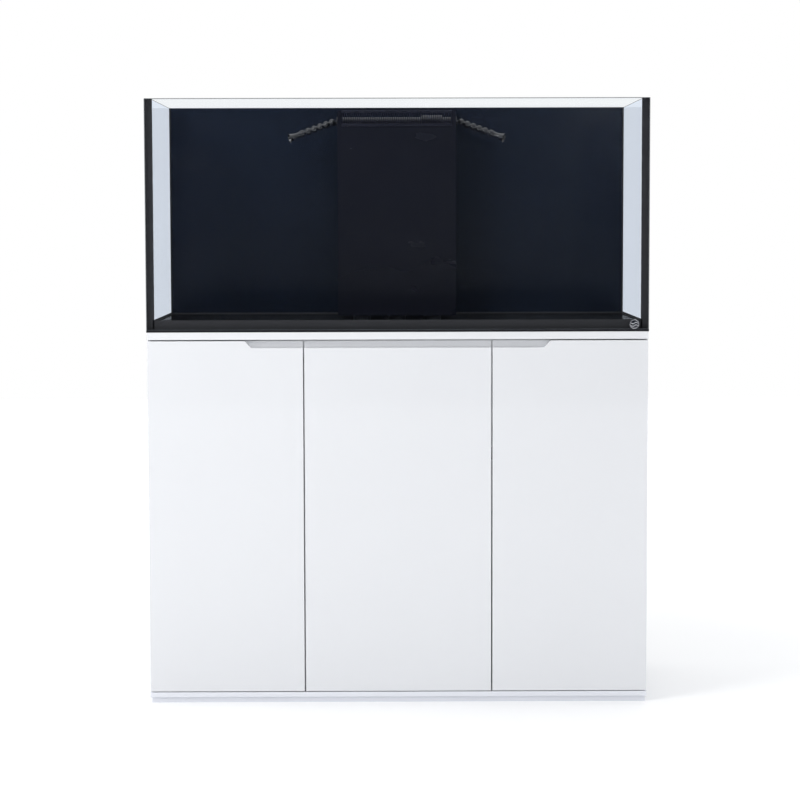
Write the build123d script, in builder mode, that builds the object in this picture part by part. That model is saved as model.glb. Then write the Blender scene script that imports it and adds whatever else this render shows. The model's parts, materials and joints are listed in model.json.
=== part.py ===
from build123d import *
import math
import os

# A rimless reef aquarium on a three-door cabinet, in millimetres.
# The origin is on the floor under the middle of the cabinet: +X right, +Y to the back, +Z up.

# ---- driving dimensions -------------------------------------------------------------------
WIDTH = 1200.0
DEPTH = 500.0
CABINET_WIDTH = 1198.0
CABINET_TOP = 895.0
MAT = 5.0
TANK_HEIGHT = 550.0
GLASS = 15.0
BASE_GLASS = 19.0
SEAM = 1.0
BEAD = 3.5
FLOOR_BEAD = 4.5
ARRIS = 1.0

BOARD = 18.0
TOP_BOARD = 18.0
BASE_BOARD = 12.0
PLINTH_HEIGHT = 13.0
PLINTH_SETBACK = 3.5
PLINTH_THICKNESS = 16.0
BACK_PANEL = 8.0
BACK_PANEL_Y = 236.0

DOOR_THICKNESS = 18.0
DOOR_GAP = 3.0
DOOR_SIDE_REVEAL = 0.5
DOOR_BOTTOM = 27.0
DOOR_TOP = 874.0
DOOR_AIR = 2.0
DOOR_SPLIT = 225.0
DOOR_EDGE_RADIUS = 0.8
PULL_HALF_WIDTH = 365.0
PULL_FOOT_HALF_WIDTH = 350.0
PULL_DEPTH = 17.0
PULL_CORNER = 9.0
PULL_LIP = 4.0
PULL_GROOVE = 9.0
PULL_GROOVE_FOOT = 845.0
PULL_LIP_RADIUS = 2.5
BUMPER_RADIUS = 4.0
BUMPER_THICKNESS = 1.6
BUMPER_INSET = 8.0
BUMPER_HEIGHTS = (57.0, 824.0)

WEIR_WIDTH = 300.0
WEIR_FRONT = 120.0
WEIR_WALL = 6.0
WEIR_TOP = 1438.0
COMB_HALF_WIDTH = 139.5
COMB_FOOT = 1398.0
COMB_SLOTS = 50
COMB_PITCH = 5.5
COMB_SLOT_WIDTH = 2.5
COMB_SLOT_LOW = 1404.0
COMB_SLOT_HIGH = 1433.0
COMB_FLANGE = 2.5
COMB_PLAY = 0.4
GUIDE = 5.0

PIPE_Y = 165.0
PIPE_RADIUS = 16.0
PIPE_BORE = 13.5
PIPE_FIT = 0.15
DRAIN_X = -90.0
EMERGENCY_X = 0.0
RETURN_X = 90.0
MANIFOLD_Z = 1409.0
MANIFOLD_RADIUS = 13.0
VALVE_Z = 640.0

BALL_RADIUS = 7.5
BALL_PLAY = 0.3
SOCKET_RADIUS = 9.6
SOCKET_LIP = 2.0
NECK_RADIUS = 5.0
NECK_START = 8.5
NOZZLE_BORE = 3.8
SHANK_RADIUS = 10.0
COLLAR_RADIUS = 14.0
COLLAR_THICKNESS = 3.0
FLANGE_NECK_RADIUS = 4.8
SEGMENT_PITCH = 17.0
SEGMENTS = 5
MOUTH_LENGTH = 38.0
MOUTH_RADIUS = 13.0
NOZZLE_ROOT_X = 163.0
NOZZLE_DIRECTION = (0.882, -0.327, -0.335)

SUMP_LEFT = -170.0
SUMP_RIGHT = 550.0
SUMP_FRONT = -190.0
SUMP_BACK = 210.0
SUMP_GLASS = 8.0
SUMP_HEIGHT = 380.0
TRAY_Z = 372.0
TRAY_THICKNESS = 6.0
SOCK_X = -60.0
SOCK_Y = -20.0
SOCK_RADIUS = 50.0
SOCK_LENGTH = 250.0
SOCK_CLOTH = 2.0
PUMP_X = 360.0
PUMP_AXIS_Z = 76.0
VOLUTE_RADIUS = 34.0

# ---- worked-out sizes ---------------------------------------------------------------------
FRONT = -DEPTH / 2
BACK = DEPTH / 2
TANK_FLOOR = CABINET_TOP + MAT
TANK_TOP = TANK_FLOOR + TANK_HEIGHT
TANK_INNER_X = WIDTH / 2 - GLASS
TANK_INNER_Y = DEPTH / 2 - GLASS
BASE_TOP = TANK_FLOOR + BASE_GLASS
BASE_BOARD_TOP = PLINTH_HEIGHT + BASE_BOARD
CARCASS_TOP = CABINET_TOP - TOP_BOARD
CARCASS_FRONT = FRONT + DOOR_THICKNESS + DOOR_AIR
CARCASS_INNER_X = CABINET_WIDTH / 2 - BOARD
CARCASS_HEIGHT = CARCASS_TOP - BASE_BOARD_TOP
DOOR_OUTER_X = CABINET_WIDTH / 2 - DOOR_SIDE_REVEAL

# ---- concealed hinges, in each door's own plane: x from the hinged edge, y from the front ----
ARM_PIVOT = (30.0, 27.0)
CUP_PIVOT = (11.0, 13.5)
CRANK_KNEES = [(15.0, 10.0), (22.0, 9.8), (27.0, 14.0), (27.0, 22.5)]
CRANK_THICKNESS = 2.4
CRANK_WIDTH = 6.0
PIN_RADIUS = 1.25
PIN_PLAY = 0.05
CUP_PIN_LENGTH = 18.0
ARM_PIN_LENGTH = 14.0
CUP_CENTRE_X = 21.5
CUP_RADIUS = 17.4
CUP_BORE_RADIUS = 17.5
CUP_POCKET_RADIUS = 16.2
CUP_FLOOR_Y = 6.0
CUP_WALL = 1.2
CHEEK_GAP = 3.4
HINGE_INSET = 100.0
HINGE_HEIGHTS = (DOOR_BOTTOM + HINGE_INSET, DOOR_TOP - HINGE_INSET)

# name: left edge, right edge, hinged edge, +1 when the door runs to the right of its hinge,
# and how far the carcass panel's inner face stands in from the hinged edge
DOORS = {
    "left_door": (-DOOR_OUTER_X, -DOOR_SPLIT - DOOR_GAP / 2, -DOOR_OUTER_X, 1),
    "centre_door": (-DOOR_SPLIT + DOOR_GAP / 2, DOOR_SPLIT - DOOR_GAP / 2, -DOOR_SPLIT + DOOR_GAP / 2, 1),
    "right_door": (DOOR_SPLIT + DOOR_GAP / 2, DOOR_OUTER_X, DOOR_OUTER_X, -1),
}
PANEL_INSETS = {
    "left_door": BOARD - DOOR_SIDE_REVEAL,
    "centre_door": BOARD / 2 - DOOR_GAP / 2,
    "right_door": BOARD - DOOR_SIDE_REVEAL,
}


def save(piece, name):
    """Label one finished sub-part and write its STEP file."""
    piece.label = name
    export_step(piece, f"parts/{name}.step")


def block(name, x_span, y_span, z_span):
    """Write one plain rectangular board or pane from its three spans."""
    with BuildPart() as board:
        with BuildSketch(Plane.XY.offset(z_span[0])):
            with Locations((sum(x_span) / 2, sum(y_span) / 2)):
                Rectangle(x_span[1] - x_span[0], y_span[1] - y_span[0])
        extrude(amount=z_span[1] - z_span[0])
    save(board.part, name)


# ---- cabinet carcass ------------------------------------------------------------------------
def make_carcass():
    """Plinth, boards, side panels, partition and front rails."""
    half = CABINET_WIDTH / 2
    with BuildPart() as plinth_frame:
        with BuildSketch():
            Rectangle(CABINET_WIDTH - 2 * PLINTH_SETBACK, DEPTH - 2 * PLINTH_SETBACK)
            offset(amount=-PLINTH_THICKNESS, mode=Mode.SUBTRACT)
        extrude(amount=PLINTH_HEIGHT)
    save(plinth_frame.part, "plinth_frame")

    with BuildPart() as base_board:
        with BuildSketch(Plane.XY.offset(PLINTH_HEIGHT)):
            Rectangle(CABINET_WIDTH, DEPTH)
        extrude(amount=BASE_BOARD)
        fillet(base_board.edges().filter_by(Axis.X).group_by(Axis.Y)[0], radius=DOOR_EDGE_RADIUS)
    save(base_board.part, "base_board")

    upright = (BASE_BOARD_TOP, CARCASS_TOP)
    block("left_side_panel", (-half, -CARCASS_INNER_X), (CARCASS_FRONT, BACK), upright)
    block("right_side_panel", (CARCASS_INNER_X, half), (CARCASS_FRONT, BACK), upright)
    partition_x = (-DOOR_SPLIT - BOARD / 2, -DOOR_SPLIT + BOARD / 2)
    block("partition_panel", partition_x, (CARCASS_FRONT, BACK_PANEL_Y), upright)

    rail_height = 60.0
    with BuildPart() as front_rails:
        with BuildSketch(Plane.XY.offset(CARCASS_TOP - rail_height)):
            for low, high in ((-CARCASS_INNER_X, partition_x[0]), (partition_x[1], CARCASS_INNER_X)):
                with Locations(((low + high) / 2, CARCASS_FRONT + BOARD / 2)):
                    Rectangle(high - low, BOARD)
        extrude(amount=rail_height)
    save(front_rails.part, "front_rails")

    with BuildPart() as top_board:
        with BuildSketch(Plane.XY.offset(CARCASS_TOP)):
            Rectangle(CABINET_WIDTH, DEPTH)
        extrude(amount=TOP_BOARD)
        fillet(top_board.edges().filter_by(Axis.X).group_by(Axis.Y)[0], radius=DOOR_EDGE_RADIUS)
        cut_plumbing_slot(CARCASS_TOP, TOP_BOARD)
    save(top_board.part, "top_board")


def cut_plumbing_slot(bottom, thickness):
    """Cut, in the part being built, the opening that the bulkheads hang through."""
    with BuildSketch(Plane.XY.offset(bottom)) as slot:
        with Locations((0, PIPE_Y)):
            RectangleRounded(270, 90, 12)
    extrude(to_extrude=slot.sketch, amount=thickness, mode=Mode.SUBTRACT)


def make_back_panel():
    """The back panel with its three service cut-outs, and the screws that hold it."""
    cutouts = ((-408.0, 180.0, 120.0), (20.0, 260.0, 160.0), (390.0, 260.0, 160.0))
    cutout_z = 720.0
    cutout_corner = 10.0
    back_face = Plane(origin=(0, BACK_PANEL_Y, 0), x_dir=(1, 0, 0), z_dir=(0, -1, 0))
    with BuildPart() as back_panel:
        with BuildSketch(back_face):
            with Locations((0, BASE_BOARD_TOP + CARCASS_HEIGHT / 2)):
                Rectangle(2 * CARCASS_INNER_X, CARCASS_HEIGHT)
            for centre_x, width, height in cutouts:
                with Locations((centre_x, cutout_z)):
                    RectangleRounded(width, height, cutout_corner, mode=Mode.SUBTRACT)
        extrude(amount=-BACK_PANEL)
    save(back_panel.part, "back_panel")

    head_radius = 3.6
    head_height = 1.8
    screw_face = back_face.offset(-BACK_PANEL)
    with BuildPart() as back_panel_screws:
        with BuildSketch(screw_face):
            with Locations((0, BASE_BOARD_TOP + CARCASS_HEIGHT / 2)):
                with GridLocations(2 * CARCASS_INNER_X - 24, 270, 2, 4):
                    Circle(head_radius)
        extrude(amount=-head_height)
        fillet(back_panel_screws.edges().group_by(Axis.Y)[-1], radius=head_height / 2)
    save(back_panel_screws.part, "back_panel_screws")


# ---- glass tank -----------------------------------------------------------------------------
def make_pane(name, x_span, y_span, arris_axis):
    """A full-height pane whose top edges carry a ground arris."""
    with BuildPart() as pane:
        with BuildSketch(Plane.XY.offset(TANK_FLOOR)):
            with Locations((sum(x_span) / 2, sum(y_span) / 2)):
                Rectangle(x_span[1] - x_span[0], y_span[1] - y_span[0])
        extrude(amount=TANK_HEIGHT)
        chamfer(pane.edges().group_by(Axis.Z)[-1].filter_by(arris_axis), length=ARRIS)
    save(pane.part, name)


def make_tank():
    """Mat, five panes and the black silicone between them."""
    end_y = TANK_INNER_Y - SEAM
    with BuildPart() as foam_mat:
        with BuildSketch(Plane.XY.offset(CABINET_TOP)):
            Rectangle(WIDTH, DEPTH)
        extrude(amount=MAT)
        cut_plumbing_slot(CABINET_TOP, MAT)
    save(foam_mat.part, "foam_mat")

    with BuildPart() as tank_base_pane:
        with BuildSketch(Plane.XY.offset(TANK_FLOOR)):
            Rectangle(2 * (TANK_INNER_X - SEAM), 2 * end_y)
            with Locations(*[(x, PIPE_Y) for x in (DRAIN_X, EMERGENCY_X, RETURN_X)]):
                Circle(23.0, mode=Mode.SUBTRACT)
        extrude(amount=BASE_GLASS)
    save(tank_base_pane.part, "tank_base_pane")

    make_pane("tank_front_pane", (-WIDTH / 2, WIDTH / 2), (FRONT, FRONT + GLASS), Axis.X)
    make_pane("tank_rear_pane", (-WIDTH / 2, WIDTH / 2), (BACK - GLASS, BACK), Axis.X)
    make_pane("tank_left_pane", (-WIDTH / 2, -TANK_INNER_X), (-end_y, end_y), Axis.Y)
    make_pane("tank_right_pane", (TANK_INNER_X, WIDTH / 2), (-end_y, end_y), Axis.Y)

    bead_foot = BASE_TOP + FLOOR_BEAD
    with BuildPart() as corner_silicone:
        for sx in (-1, 1):
            for sy in (-1, 1):
                with BuildSketch(Plane.XY.offset(TANK_FLOOR)):
                    with Locations((sx * (TANK_INNER_X + GLASS / 2), sy * (TANK_INNER_Y - SEAM / 2))):
                        Rectangle(GLASS, SEAM)
                extrude(amount=TANK_HEIGHT - ARRIS)
                with BuildSketch(Plane.XY.offset(bead_foot)):
                    with BuildLine():
                        Polyline(
                            (sx * TANK_INNER_X, sy * TANK_INNER_Y),
                            (sx * (TANK_INNER_X - BEAD), sy * TANK_INNER_Y),
                            (sx * TANK_INNER_X, sy * (TANK_INNER_Y - BEAD - SEAM)),
                            close=True,
                        )
                    make_face()
                extrude(amount=TANK_TOP - ARRIS - bead_foot)
    save(corner_silicone.part, "corner_silicone")

    with BuildPart() as floor_silicone:
        with BuildSketch(Plane.XY.offset(TANK_FLOOR)):
            Rectangle(2 * TANK_INNER_X, 2 * TANK_INNER_Y)
            Rectangle(2 * (TANK_INNER_X - SEAM), 2 * end_y, mode=Mode.SUBTRACT)
        extrude(amount=BASE_GLASS)
        with BuildSketch(Plane.XY.offset(BASE_TOP)):
            Rectangle(2 * TANK_INNER_X, 2 * TANK_INNER_Y)
        extrude(amount=FLOOR_BEAD)
        with BuildSketch(Plane.XY.offset(BASE_TOP)):
            Rectangle(2 * (TANK_INNER_X - FLOOR_BEAD), 2 * (TANK_INNER_Y - FLOOR_BEAD))
        with BuildSketch(Plane.XY.offset(BASE_TOP + FLOOR_BEAD)):
            Rectangle(2 * TANK_INNER_X, 2 * TANK_INNER_Y)
        loft(mode=Mode.SUBTRACT)
        with BuildSketch(Plane.XY.offset(BASE_TOP)):
            with Locations((0, TANK_INNER_Y - FLOOR_BEAD / 2)):
                with GridLocations(WEIR_WIDTH - WEIR_WALL, 1, 2, 1):
                    Rectangle(WEIR_WALL, FLOOR_BEAD)
        extrude(amount=FLOOR_BEAD, mode=Mode.SUBTRACT)
    save(floor_silicone.part, "floor_silicone")


def make_badge():
    """A small round plaque, low on the right of the front pane."""
    badge_radius = 12.0
    badge_x = 565.0
    badge_z = TANK_FLOOR + 12.5
    badge_thickness = 0.5
    face = Plane(origin=(badge_x, FRONT, badge_z), x_dir=(1, 0, 0), z_dir=(0, -1, 0))
    with BuildPart() as tank_badge:
        with BuildSketch(face):
            Circle(badge_radius)
        extrude(amount=badge_thickness)
    save(tank_badge.part, "tank_badge")


# ---- weir box, comb and nozzles ---------------------------------------------------------------
def make_weir():
    """Weir box walls with the strips that guide the comb, and the lift-out comb."""
    side_x = WEIR_WIDTH / 2
    height = WEIR_TOP - BASE_TOP
    front_plane = Plane(origin=(0, WEIR_FRONT, 0), x_dir=(1, 0, 0), z_dir=(0, -1, 0))
    with BuildPart() as weir_front_panel:
        with BuildSketch(front_plane):
            with Locations((0, BASE_TOP + height / 2)):
                Rectangle(WEIR_WIDTH, height)
            with Locations((0, (COMB_FOOT + WEIR_TOP) / 2)):
                Rectangle(2 * (COMB_HALF_WIDTH + COMB_PLAY), WEIR_TOP - COMB_FOOT, mode=Mode.SUBTRACT)
        extrude(amount=-WEIR_WALL)
    save(weir_front_panel.part, "weir_front_panel")

    guide_y = WEIR_FRONT + WEIR_WALL + 2 * COMB_PLAY + COMB_FLANGE + GUIDE / 2
    with BuildPart() as weir_side_panels:
        for side in (-1, 1):
            inner_x = side * (side_x - WEIR_WALL)
            inner_face = Plane(origin=(inner_x, 0, 0), x_dir=(0, side, 0), z_dir=(side, 0, 0))
            with BuildSketch(inner_face):
                wall_middle = (WEIR_FRONT + WEIR_WALL + TANK_INNER_Y) / 2
                with Locations((side * wall_middle, BASE_TOP + height / 2)):
                    Rectangle(TANK_INNER_Y - WEIR_FRONT - WEIR_WALL, height)
                with Locations((side * PIPE_Y, MANIFOLD_Z)):
                    Circle(SHANK_RADIUS + BALL_PLAY, mode=Mode.SUBTRACT)
            extrude(amount=WEIR_WALL)
        with BuildSketch(Plane.XY.offset(COMB_FOOT)):
            with Locations(*[(side * (side_x - WEIR_WALL - GUIDE / 2), guide_y) for side in (-1, 1)]):
                Rectangle(GUIDE, GUIDE)
        extrude(amount=WEIR_TOP - COMB_FOOT)
    save(weir_side_panels.part, "weir_side_panels")

    slot_height = COMB_SLOT_HIGH - COMB_SLOT_LOW
    comb_bottom = COMB_FOOT + COMB_PLAY
    with BuildPart() as weir_comb:
        with BuildSketch(front_plane):
            with Locations((0, (comb_bottom + WEIR_TOP) / 2)):
                Rectangle(2 * COMB_HALF_WIDTH, WEIR_TOP - comb_bottom)
        extrude(amount=-WEIR_WALL - COMB_PLAY)
        with BuildSketch(front_plane.offset(-WEIR_WALL - COMB_PLAY)):
            with Locations((0, (comb_bottom + WEIR_TOP) / 2)):
                Rectangle(2 * (side_x - WEIR_WALL - COMB_PLAY), WEIR_TOP - comb_bottom)
        extrude(amount=-COMB_FLANGE)
        with BuildSketch(front_plane):
            with Locations((0, (COMB_SLOT_LOW + COMB_SLOT_HIGH) / 2)):
                with GridLocations(COMB_PITCH, 1, COMB_SLOTS, 1):
                    Rectangle(COMB_SLOT_WIDTH, slot_height)
        extrude(amount=-WEIR_WALL - COMB_PLAY - COMB_FLANGE, mode=Mode.SUBTRACT)
    save(weir_comb.part, "weir_comb")


def nozzle_section(side, centre_distance):
    """The plane of a nozzle profile: local x is the radius, local y runs along the chain."""
    along = Vector(side * NOZZLE_DIRECTION[0], NOZZLE_DIRECTION[1], NOZZLE_DIRECTION[2]).normalized()
    start = Vector(side * NOZZLE_ROOT_X, PIPE_Y, MANIFOLD_Z)
    radial = along.cross(Vector(0, 0, 1)).normalized()
    return Plane(origin=start + along * centre_distance, x_dir=radial, z_dir=radial.cross(along))


def socket_outline(*end_points):
    """Draw half a solid socket: a skirt over the ball, then the given outline back to the axis."""
    with BuildLine() as outline:
        Polyline(
            (0, -SOCKET_LIP),
            (SOCKET_RADIUS - 0.8, -SOCKET_LIP),
            (SOCKET_RADIUS, -SOCKET_LIP / 2),
            (SOCKET_RADIUS, SOCKET_LIP * 1.5),
            *end_points,
            close=True,
        )
    make_face(outline.edges())


def make_flanges():
    """The two wall flanges: threaded shank, collar, neck and the ball that the chain grips."""
    wall_gap = NOZZLE_ROOT_X - WEIR_WIDTH / 2
    with BuildPart() as nozzle_flanges:
        for side in (-1, 1):
            ball_centre = (side * NOZZLE_ROOT_X, PIPE_Y, MANIFOLD_Z)
            with BuildSketch(Plane(origin=ball_centre, x_dir=(0, 0, 1), z_dir=(0, side, 0))):
                with BuildLine():
                    Polyline(
                        (0, -wall_gap - WEIR_WALL),
                        (SHANK_RADIUS, -wall_gap - WEIR_WALL),
                        (SHANK_RADIUS, -wall_gap),
                        (COLLAR_RADIUS, -wall_gap),
                        (COLLAR_RADIUS, -wall_gap + COLLAR_THICKNESS),
                        (FLANGE_NECK_RADIUS, -wall_gap + COLLAR_THICKNESS),
                        (FLANGE_NECK_RADIUS, 0),
                        (0, 0),
                        close=True,
                    )
                make_face()
            revolve(axis=Axis(ball_centre, (side, 0, 0)))
            with Locations(ball_centre):
                Sphere(BALL_RADIUS)
            shank_face = Plane(origin=ball_centre, z_dir=(side, 0, 0)).offset(-wall_gap - WEIR_WALL)
            with BuildSketch(shank_face):
                Circle(NOZZLE_BORE)
            extrude(amount=wall_gap + WEIR_WALL + BALL_RADIUS, mode=Mode.SUBTRACT)
    save(nozzle_flanges.part, "nozzle_flanges")


def make_nozzle(side_name, side):
    """One return nozzle: the chain of ball sockets and its flared mouth."""
    chain_start = nozzle_section(side, 0)
    chain_axis = Axis(chain_start.origin, chain_start.y_dir)
    cavity = BALL_RADIUS + BALL_PLAY
    with BuildPart() as segments:
        for index in range(SEGMENTS):
            with BuildSketch(nozzle_section(side, index * SEGMENT_PITCH)):
                neck_end = (NECK_RADIUS, SEGMENT_PITCH)
                socket_outline((NECK_RADIUS, NECK_START), neck_end, (0, SEGMENT_PITCH))
                with Locations((0, SEGMENT_PITCH)):
                    Circle(BALL_RADIUS)
                Circle(cavity, mode=Mode.SUBTRACT)
                with Locations((0, SEGMENT_PITCH)):
                    Rectangle(2 * NOZZLE_BORE, 2 * SEGMENT_PITCH, mode=Mode.SUBTRACT)
                with Locations((-SEGMENT_PITCH, 0)):
                    Rectangle(2 * SEGMENT_PITCH, 6 * SEGMENT_PITCH, mode=Mode.SUBTRACT)
            revolve(axis=chain_axis)
    save(segments.part, f"{side_name}_nozzle_segments")

    wall = 1.8
    throat = MOUTH_LENGTH * 0.55
    with BuildPart() as mouth:
        with BuildSketch(nozzle_section(side, SEGMENTS * SEGMENT_PITCH)):
            socket_outline(
                (NECK_RADIUS + wall, NECK_START + 2.0),
                (NECK_RADIUS + wall, throat),
                (MOUTH_RADIUS, MOUTH_LENGTH),
                (MOUTH_RADIUS - wall, MOUTH_LENGTH),
                (NECK_RADIUS, throat),
                (0, throat),
            )
            Circle(cavity, mode=Mode.SUBTRACT)
            with Locations((0, throat / 2)):
                Rectangle(2 * NOZZLE_BORE, throat + 2, mode=Mode.SUBTRACT)
            with Locations((-SEGMENT_PITCH, 0)):
                Rectangle(2 * SEGMENT_PITCH, 6 * SEGMENT_PITCH, mode=Mode.SUBTRACT)
        revolve(axis=chain_axis)
    save(mouth.part, f"{side_name}_nozzle_mouth")


# ---- plumbing ----------------------------------------------------------------------------------
def tube(points, radius, bore, bend=30.0):
    """Sweep a hollow pipe along a route of straight runs joined by round bends."""
    with BuildLine() as route:
        if len(points) > 2:
            FilletPolyline(*points, radius=bend)
        else:
            Line(*points)
    with BuildSketch(Plane(origin=route.line @ 0, z_dir=route.line % 0)) as section:
        Circle(radius)
        Circle(bore, mode=Mode.SUBTRACT)
    sweep(sections=section.sketch, path=route.line)


def make_bulkheads():
    """Three bulkheads through the tank floor and the hexagon nuts under it."""
    flange_radius = 33.0
    flange_height = 8.0
    body_radius = 22.0
    body_foot = TANK_FLOOR - 26.0
    nut_height = 15.0
    places = [(x, PIPE_Y) for x in (DRAIN_X, EMERGENCY_X, RETURN_X)]
    with BuildPart() as bulkheads:
        with BuildSketch(Plane.XY.offset(body_foot)):
            with Locations(*places):
                Circle(body_radius)
        extrude(amount=BASE_TOP - body_foot)
        with BuildSketch(Plane.XY.offset(BASE_TOP)):
            with Locations(*places):
                Circle(flange_radius)
        extrude(amount=flange_height)
        fillet(bulkheads.edges().group_by(Axis.Z)[-1], radius=2.0)
        with BuildSketch(Plane.XY.offset(body_foot)):
            with Locations(*places):
                Circle(PIPE_RADIUS + PIPE_FIT)
        extrude(amount=BASE_TOP + flange_height - body_foot, mode=Mode.SUBTRACT)
    save(bulkheads.part, "bulkheads")

    with BuildPart() as bulkhead_nuts:
        with BuildSketch(Plane.XY.offset(TANK_FLOOR - nut_height)):
            with Locations(*places):
                RegularPolygon(31.0, 6)
                Circle(body_radius + PIPE_FIT, mode=Mode.SUBTRACT)
        extrude(amount=nut_height)
    save(bulkhead_nuts.part, "bulkhead_nuts")


def make_pipes():
    """Drain, emergency and return pipes, the manifold behind the nozzles, strainers and union."""
    drain_top = 1290.0
    emergency_top = 1350.0
    pipe_foot = 425.0
    socket_overlap = 14.0
    valve_half = 42.0
    with BuildPart() as drain_pipes:
        tube([(DRAIN_X, PIPE_Y, pipe_foot), (DRAIN_X, PIPE_Y, VALVE_Z - valve_half + socket_overlap)],
             PIPE_RADIUS, PIPE_BORE)
        tube([(DRAIN_X, PIPE_Y, VALVE_Z + valve_half - socket_overlap), (DRAIN_X, PIPE_Y, drain_top)],
             PIPE_RADIUS, PIPE_BORE)
        emergency_ends = [(EMERGENCY_X, PIPE_Y, pipe_foot), (EMERGENCY_X, PIPE_Y, emergency_top)]
        tube(emergency_ends, PIPE_RADIUS, PIPE_BORE)
    save(drain_pipes.part, "drain_pipes")

    outlet_z = PUMP_AXIS_Z + VOLUTE_RADIUS + 12.0
    crossover_z = 560.0
    with BuildPart() as return_pipe:
        tube(
            [
                (PUMP_X, PIPE_Y, outlet_z),
                (PUMP_X, PIPE_Y, crossover_z),
                (RETURN_X, PIPE_Y, crossover_z),
                (RETURN_X, PIPE_Y, MANIFOLD_Z - 30.0),
            ],
            PIPE_RADIUS,
            PIPE_BORE,
        )
    save(return_pipe.part, "return_pipe")

    inner_half = WEIR_WIDTH / 2 - WEIR_WALL
    across = Plane(origin=(-inner_half, PIPE_Y, MANIFOLD_Z), x_dir=(0, 1, 0), z_dir=(1, 0, 0))
    with BuildPart() as return_manifold:
        with BuildSketch(across):
            Circle(MANIFOLD_RADIUS)
        extrude(amount=2 * inner_half)
        with BuildSketch(across.offset(inner_half + RETURN_X - 26.0)):
            Circle(MANIFOLD_RADIUS + 5.0)
        extrude(amount=52.0)
        with BuildSketch(Plane.XY.offset(MANIFOLD_Z - 50.0)):
            with Locations((RETURN_X, PIPE_Y)):
                Circle(PIPE_RADIUS + 5.0)
        extrude(amount=50.0)
        with BuildSketch(across):
            Circle(NOZZLE_BORE + 3.0)
        extrude(amount=2 * inner_half, mode=Mode.SUBTRACT)
        with BuildSketch(Plane.XY.offset(MANIFOLD_Z - 50.0)):
            with Locations((RETURN_X, PIPE_Y)):
                Circle(PIPE_RADIUS + PIPE_FIT)
        extrude(amount=20.0, mode=Mode.SUBTRACT)
    save(return_manifold.part, "return_manifold")

    strainer_height = 34.0
    strainer_skirt = 14.0
    with BuildPart() as pipe_strainers:
        for x, top in ((DRAIN_X, drain_top), (EMERGENCY_X, emergency_top)):
            with BuildSketch(Plane.XY.offset(top - strainer_skirt)):
                with Locations((x, PIPE_Y)):
                    Circle(PIPE_RADIUS + 4.0)
            extrude(amount=strainer_height)
            with BuildSketch(Plane.XY.offset(top - strainer_skirt)):
                with Locations((x, PIPE_Y)):
                    Circle(PIPE_RADIUS + PIPE_FIT)
            extrude(amount=strainer_height - 3.0, mode=Mode.SUBTRACT)
        fillet(pipe_strainers.faces().filter_by(Axis.Z).sort_by(Axis.Z)[-1].edges(), radius=2.5)
    save(pipe_strainers.part, "pipe_strainers")

    with BuildPart() as return_union:
        with BuildSketch(Plane.XY.offset(470.0)):
            with Locations((PUMP_X, PIPE_Y)):
                RegularPolygon(30.0, 8)
                Circle(PIPE_RADIUS + PIPE_FIT, mode=Mode.SUBTRACT)
        extrude(amount=26.0)
        with BuildSketch(Plane.XY.offset(456.0)):
            with Locations((PUMP_X, PIPE_Y)):
                Circle(PIPE_RADIUS + 5.0)
                Circle(PIPE_RADIUS + PIPE_FIT, mode=Mode.SUBTRACT)
        extrude(amount=56.0)
    save(return_union.part, "return_union")


def make_valve():
    """The drain's ball valve: body, ball with its stem, and lever."""
    half = 42.0
    ball_radius = 20.0
    cavity_play = 0.05
    stem_radius = 6.0
    stem_front = PIPE_Y - 44.0
    centre = (DRAIN_X, PIPE_Y, VALVE_Z)
    stem_plane = Plane(origin=(DRAIN_X, PIPE_Y, VALVE_Z), x_dir=(1, 0, 0), z_dir=(0, -1, 0))
    with BuildPart() as valve_body:
        with BuildSketch(Plane.XY.offset(VALVE_Z - half)):
            with Locations((DRAIN_X, PIPE_Y)):
                Circle(PIPE_RADIUS + 5.0)
        extrude(amount=2 * half)
        with Locations(centre):
            Sphere(27.0)
        with BuildSketch(stem_plane):
            Circle(11.0)
        extrude(amount=36.0)
        with BuildSketch(Plane.XY.offset(VALVE_Z - half)):
            with Locations((DRAIN_X, PIPE_Y)):
                Circle(PIPE_BORE)
        extrude(amount=2 * half, mode=Mode.SUBTRACT)
        for foot in (VALVE_Z - half, VALVE_Z + half - 14.0):
            with BuildSketch(Plane.XY.offset(foot)):
                with Locations((DRAIN_X, PIPE_Y)):
                    Circle(PIPE_RADIUS + PIPE_FIT)
            extrude(amount=14.0, mode=Mode.SUBTRACT)
        with Locations(centre):
            Sphere(ball_radius + cavity_play, mode=Mode.SUBTRACT)
        with BuildSketch(stem_plane):
            Circle(stem_radius + cavity_play)
        extrude(amount=40.0, mode=Mode.SUBTRACT)
    save(valve_body.part, "drain_valve_body")

    with BuildPart() as valve_ball:
        with Locations(centre):
            Sphere(ball_radius)
        with BuildSketch(stem_plane):
            Circle(stem_radius)
        extrude(amount=PIPE_Y - stem_front)
        with BuildSketch(Plane.XY.offset(VALVE_Z - ball_radius)):
            with Locations((DRAIN_X, PIPE_Y)):
                Circle(PIPE_BORE)
        extrude(amount=2 * ball_radius, mode=Mode.SUBTRACT)
    save(valve_ball.part, "drain_valve_ball")

    with BuildPart() as valve_handle:
        with BuildSketch(stem_plane.offset(38.0)):
            SlotOverall(84.0, 20.0, rotation=90)
            Circle(13.0)
            Circle(stem_radius, mode=Mode.SUBTRACT)
        extrude(amount=10.0)
        fillet(valve_handle.edges().group_by(Axis.Y)[0], radius=1.5)
    save(valve_handle.part, "drain_valve_handle")


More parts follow.
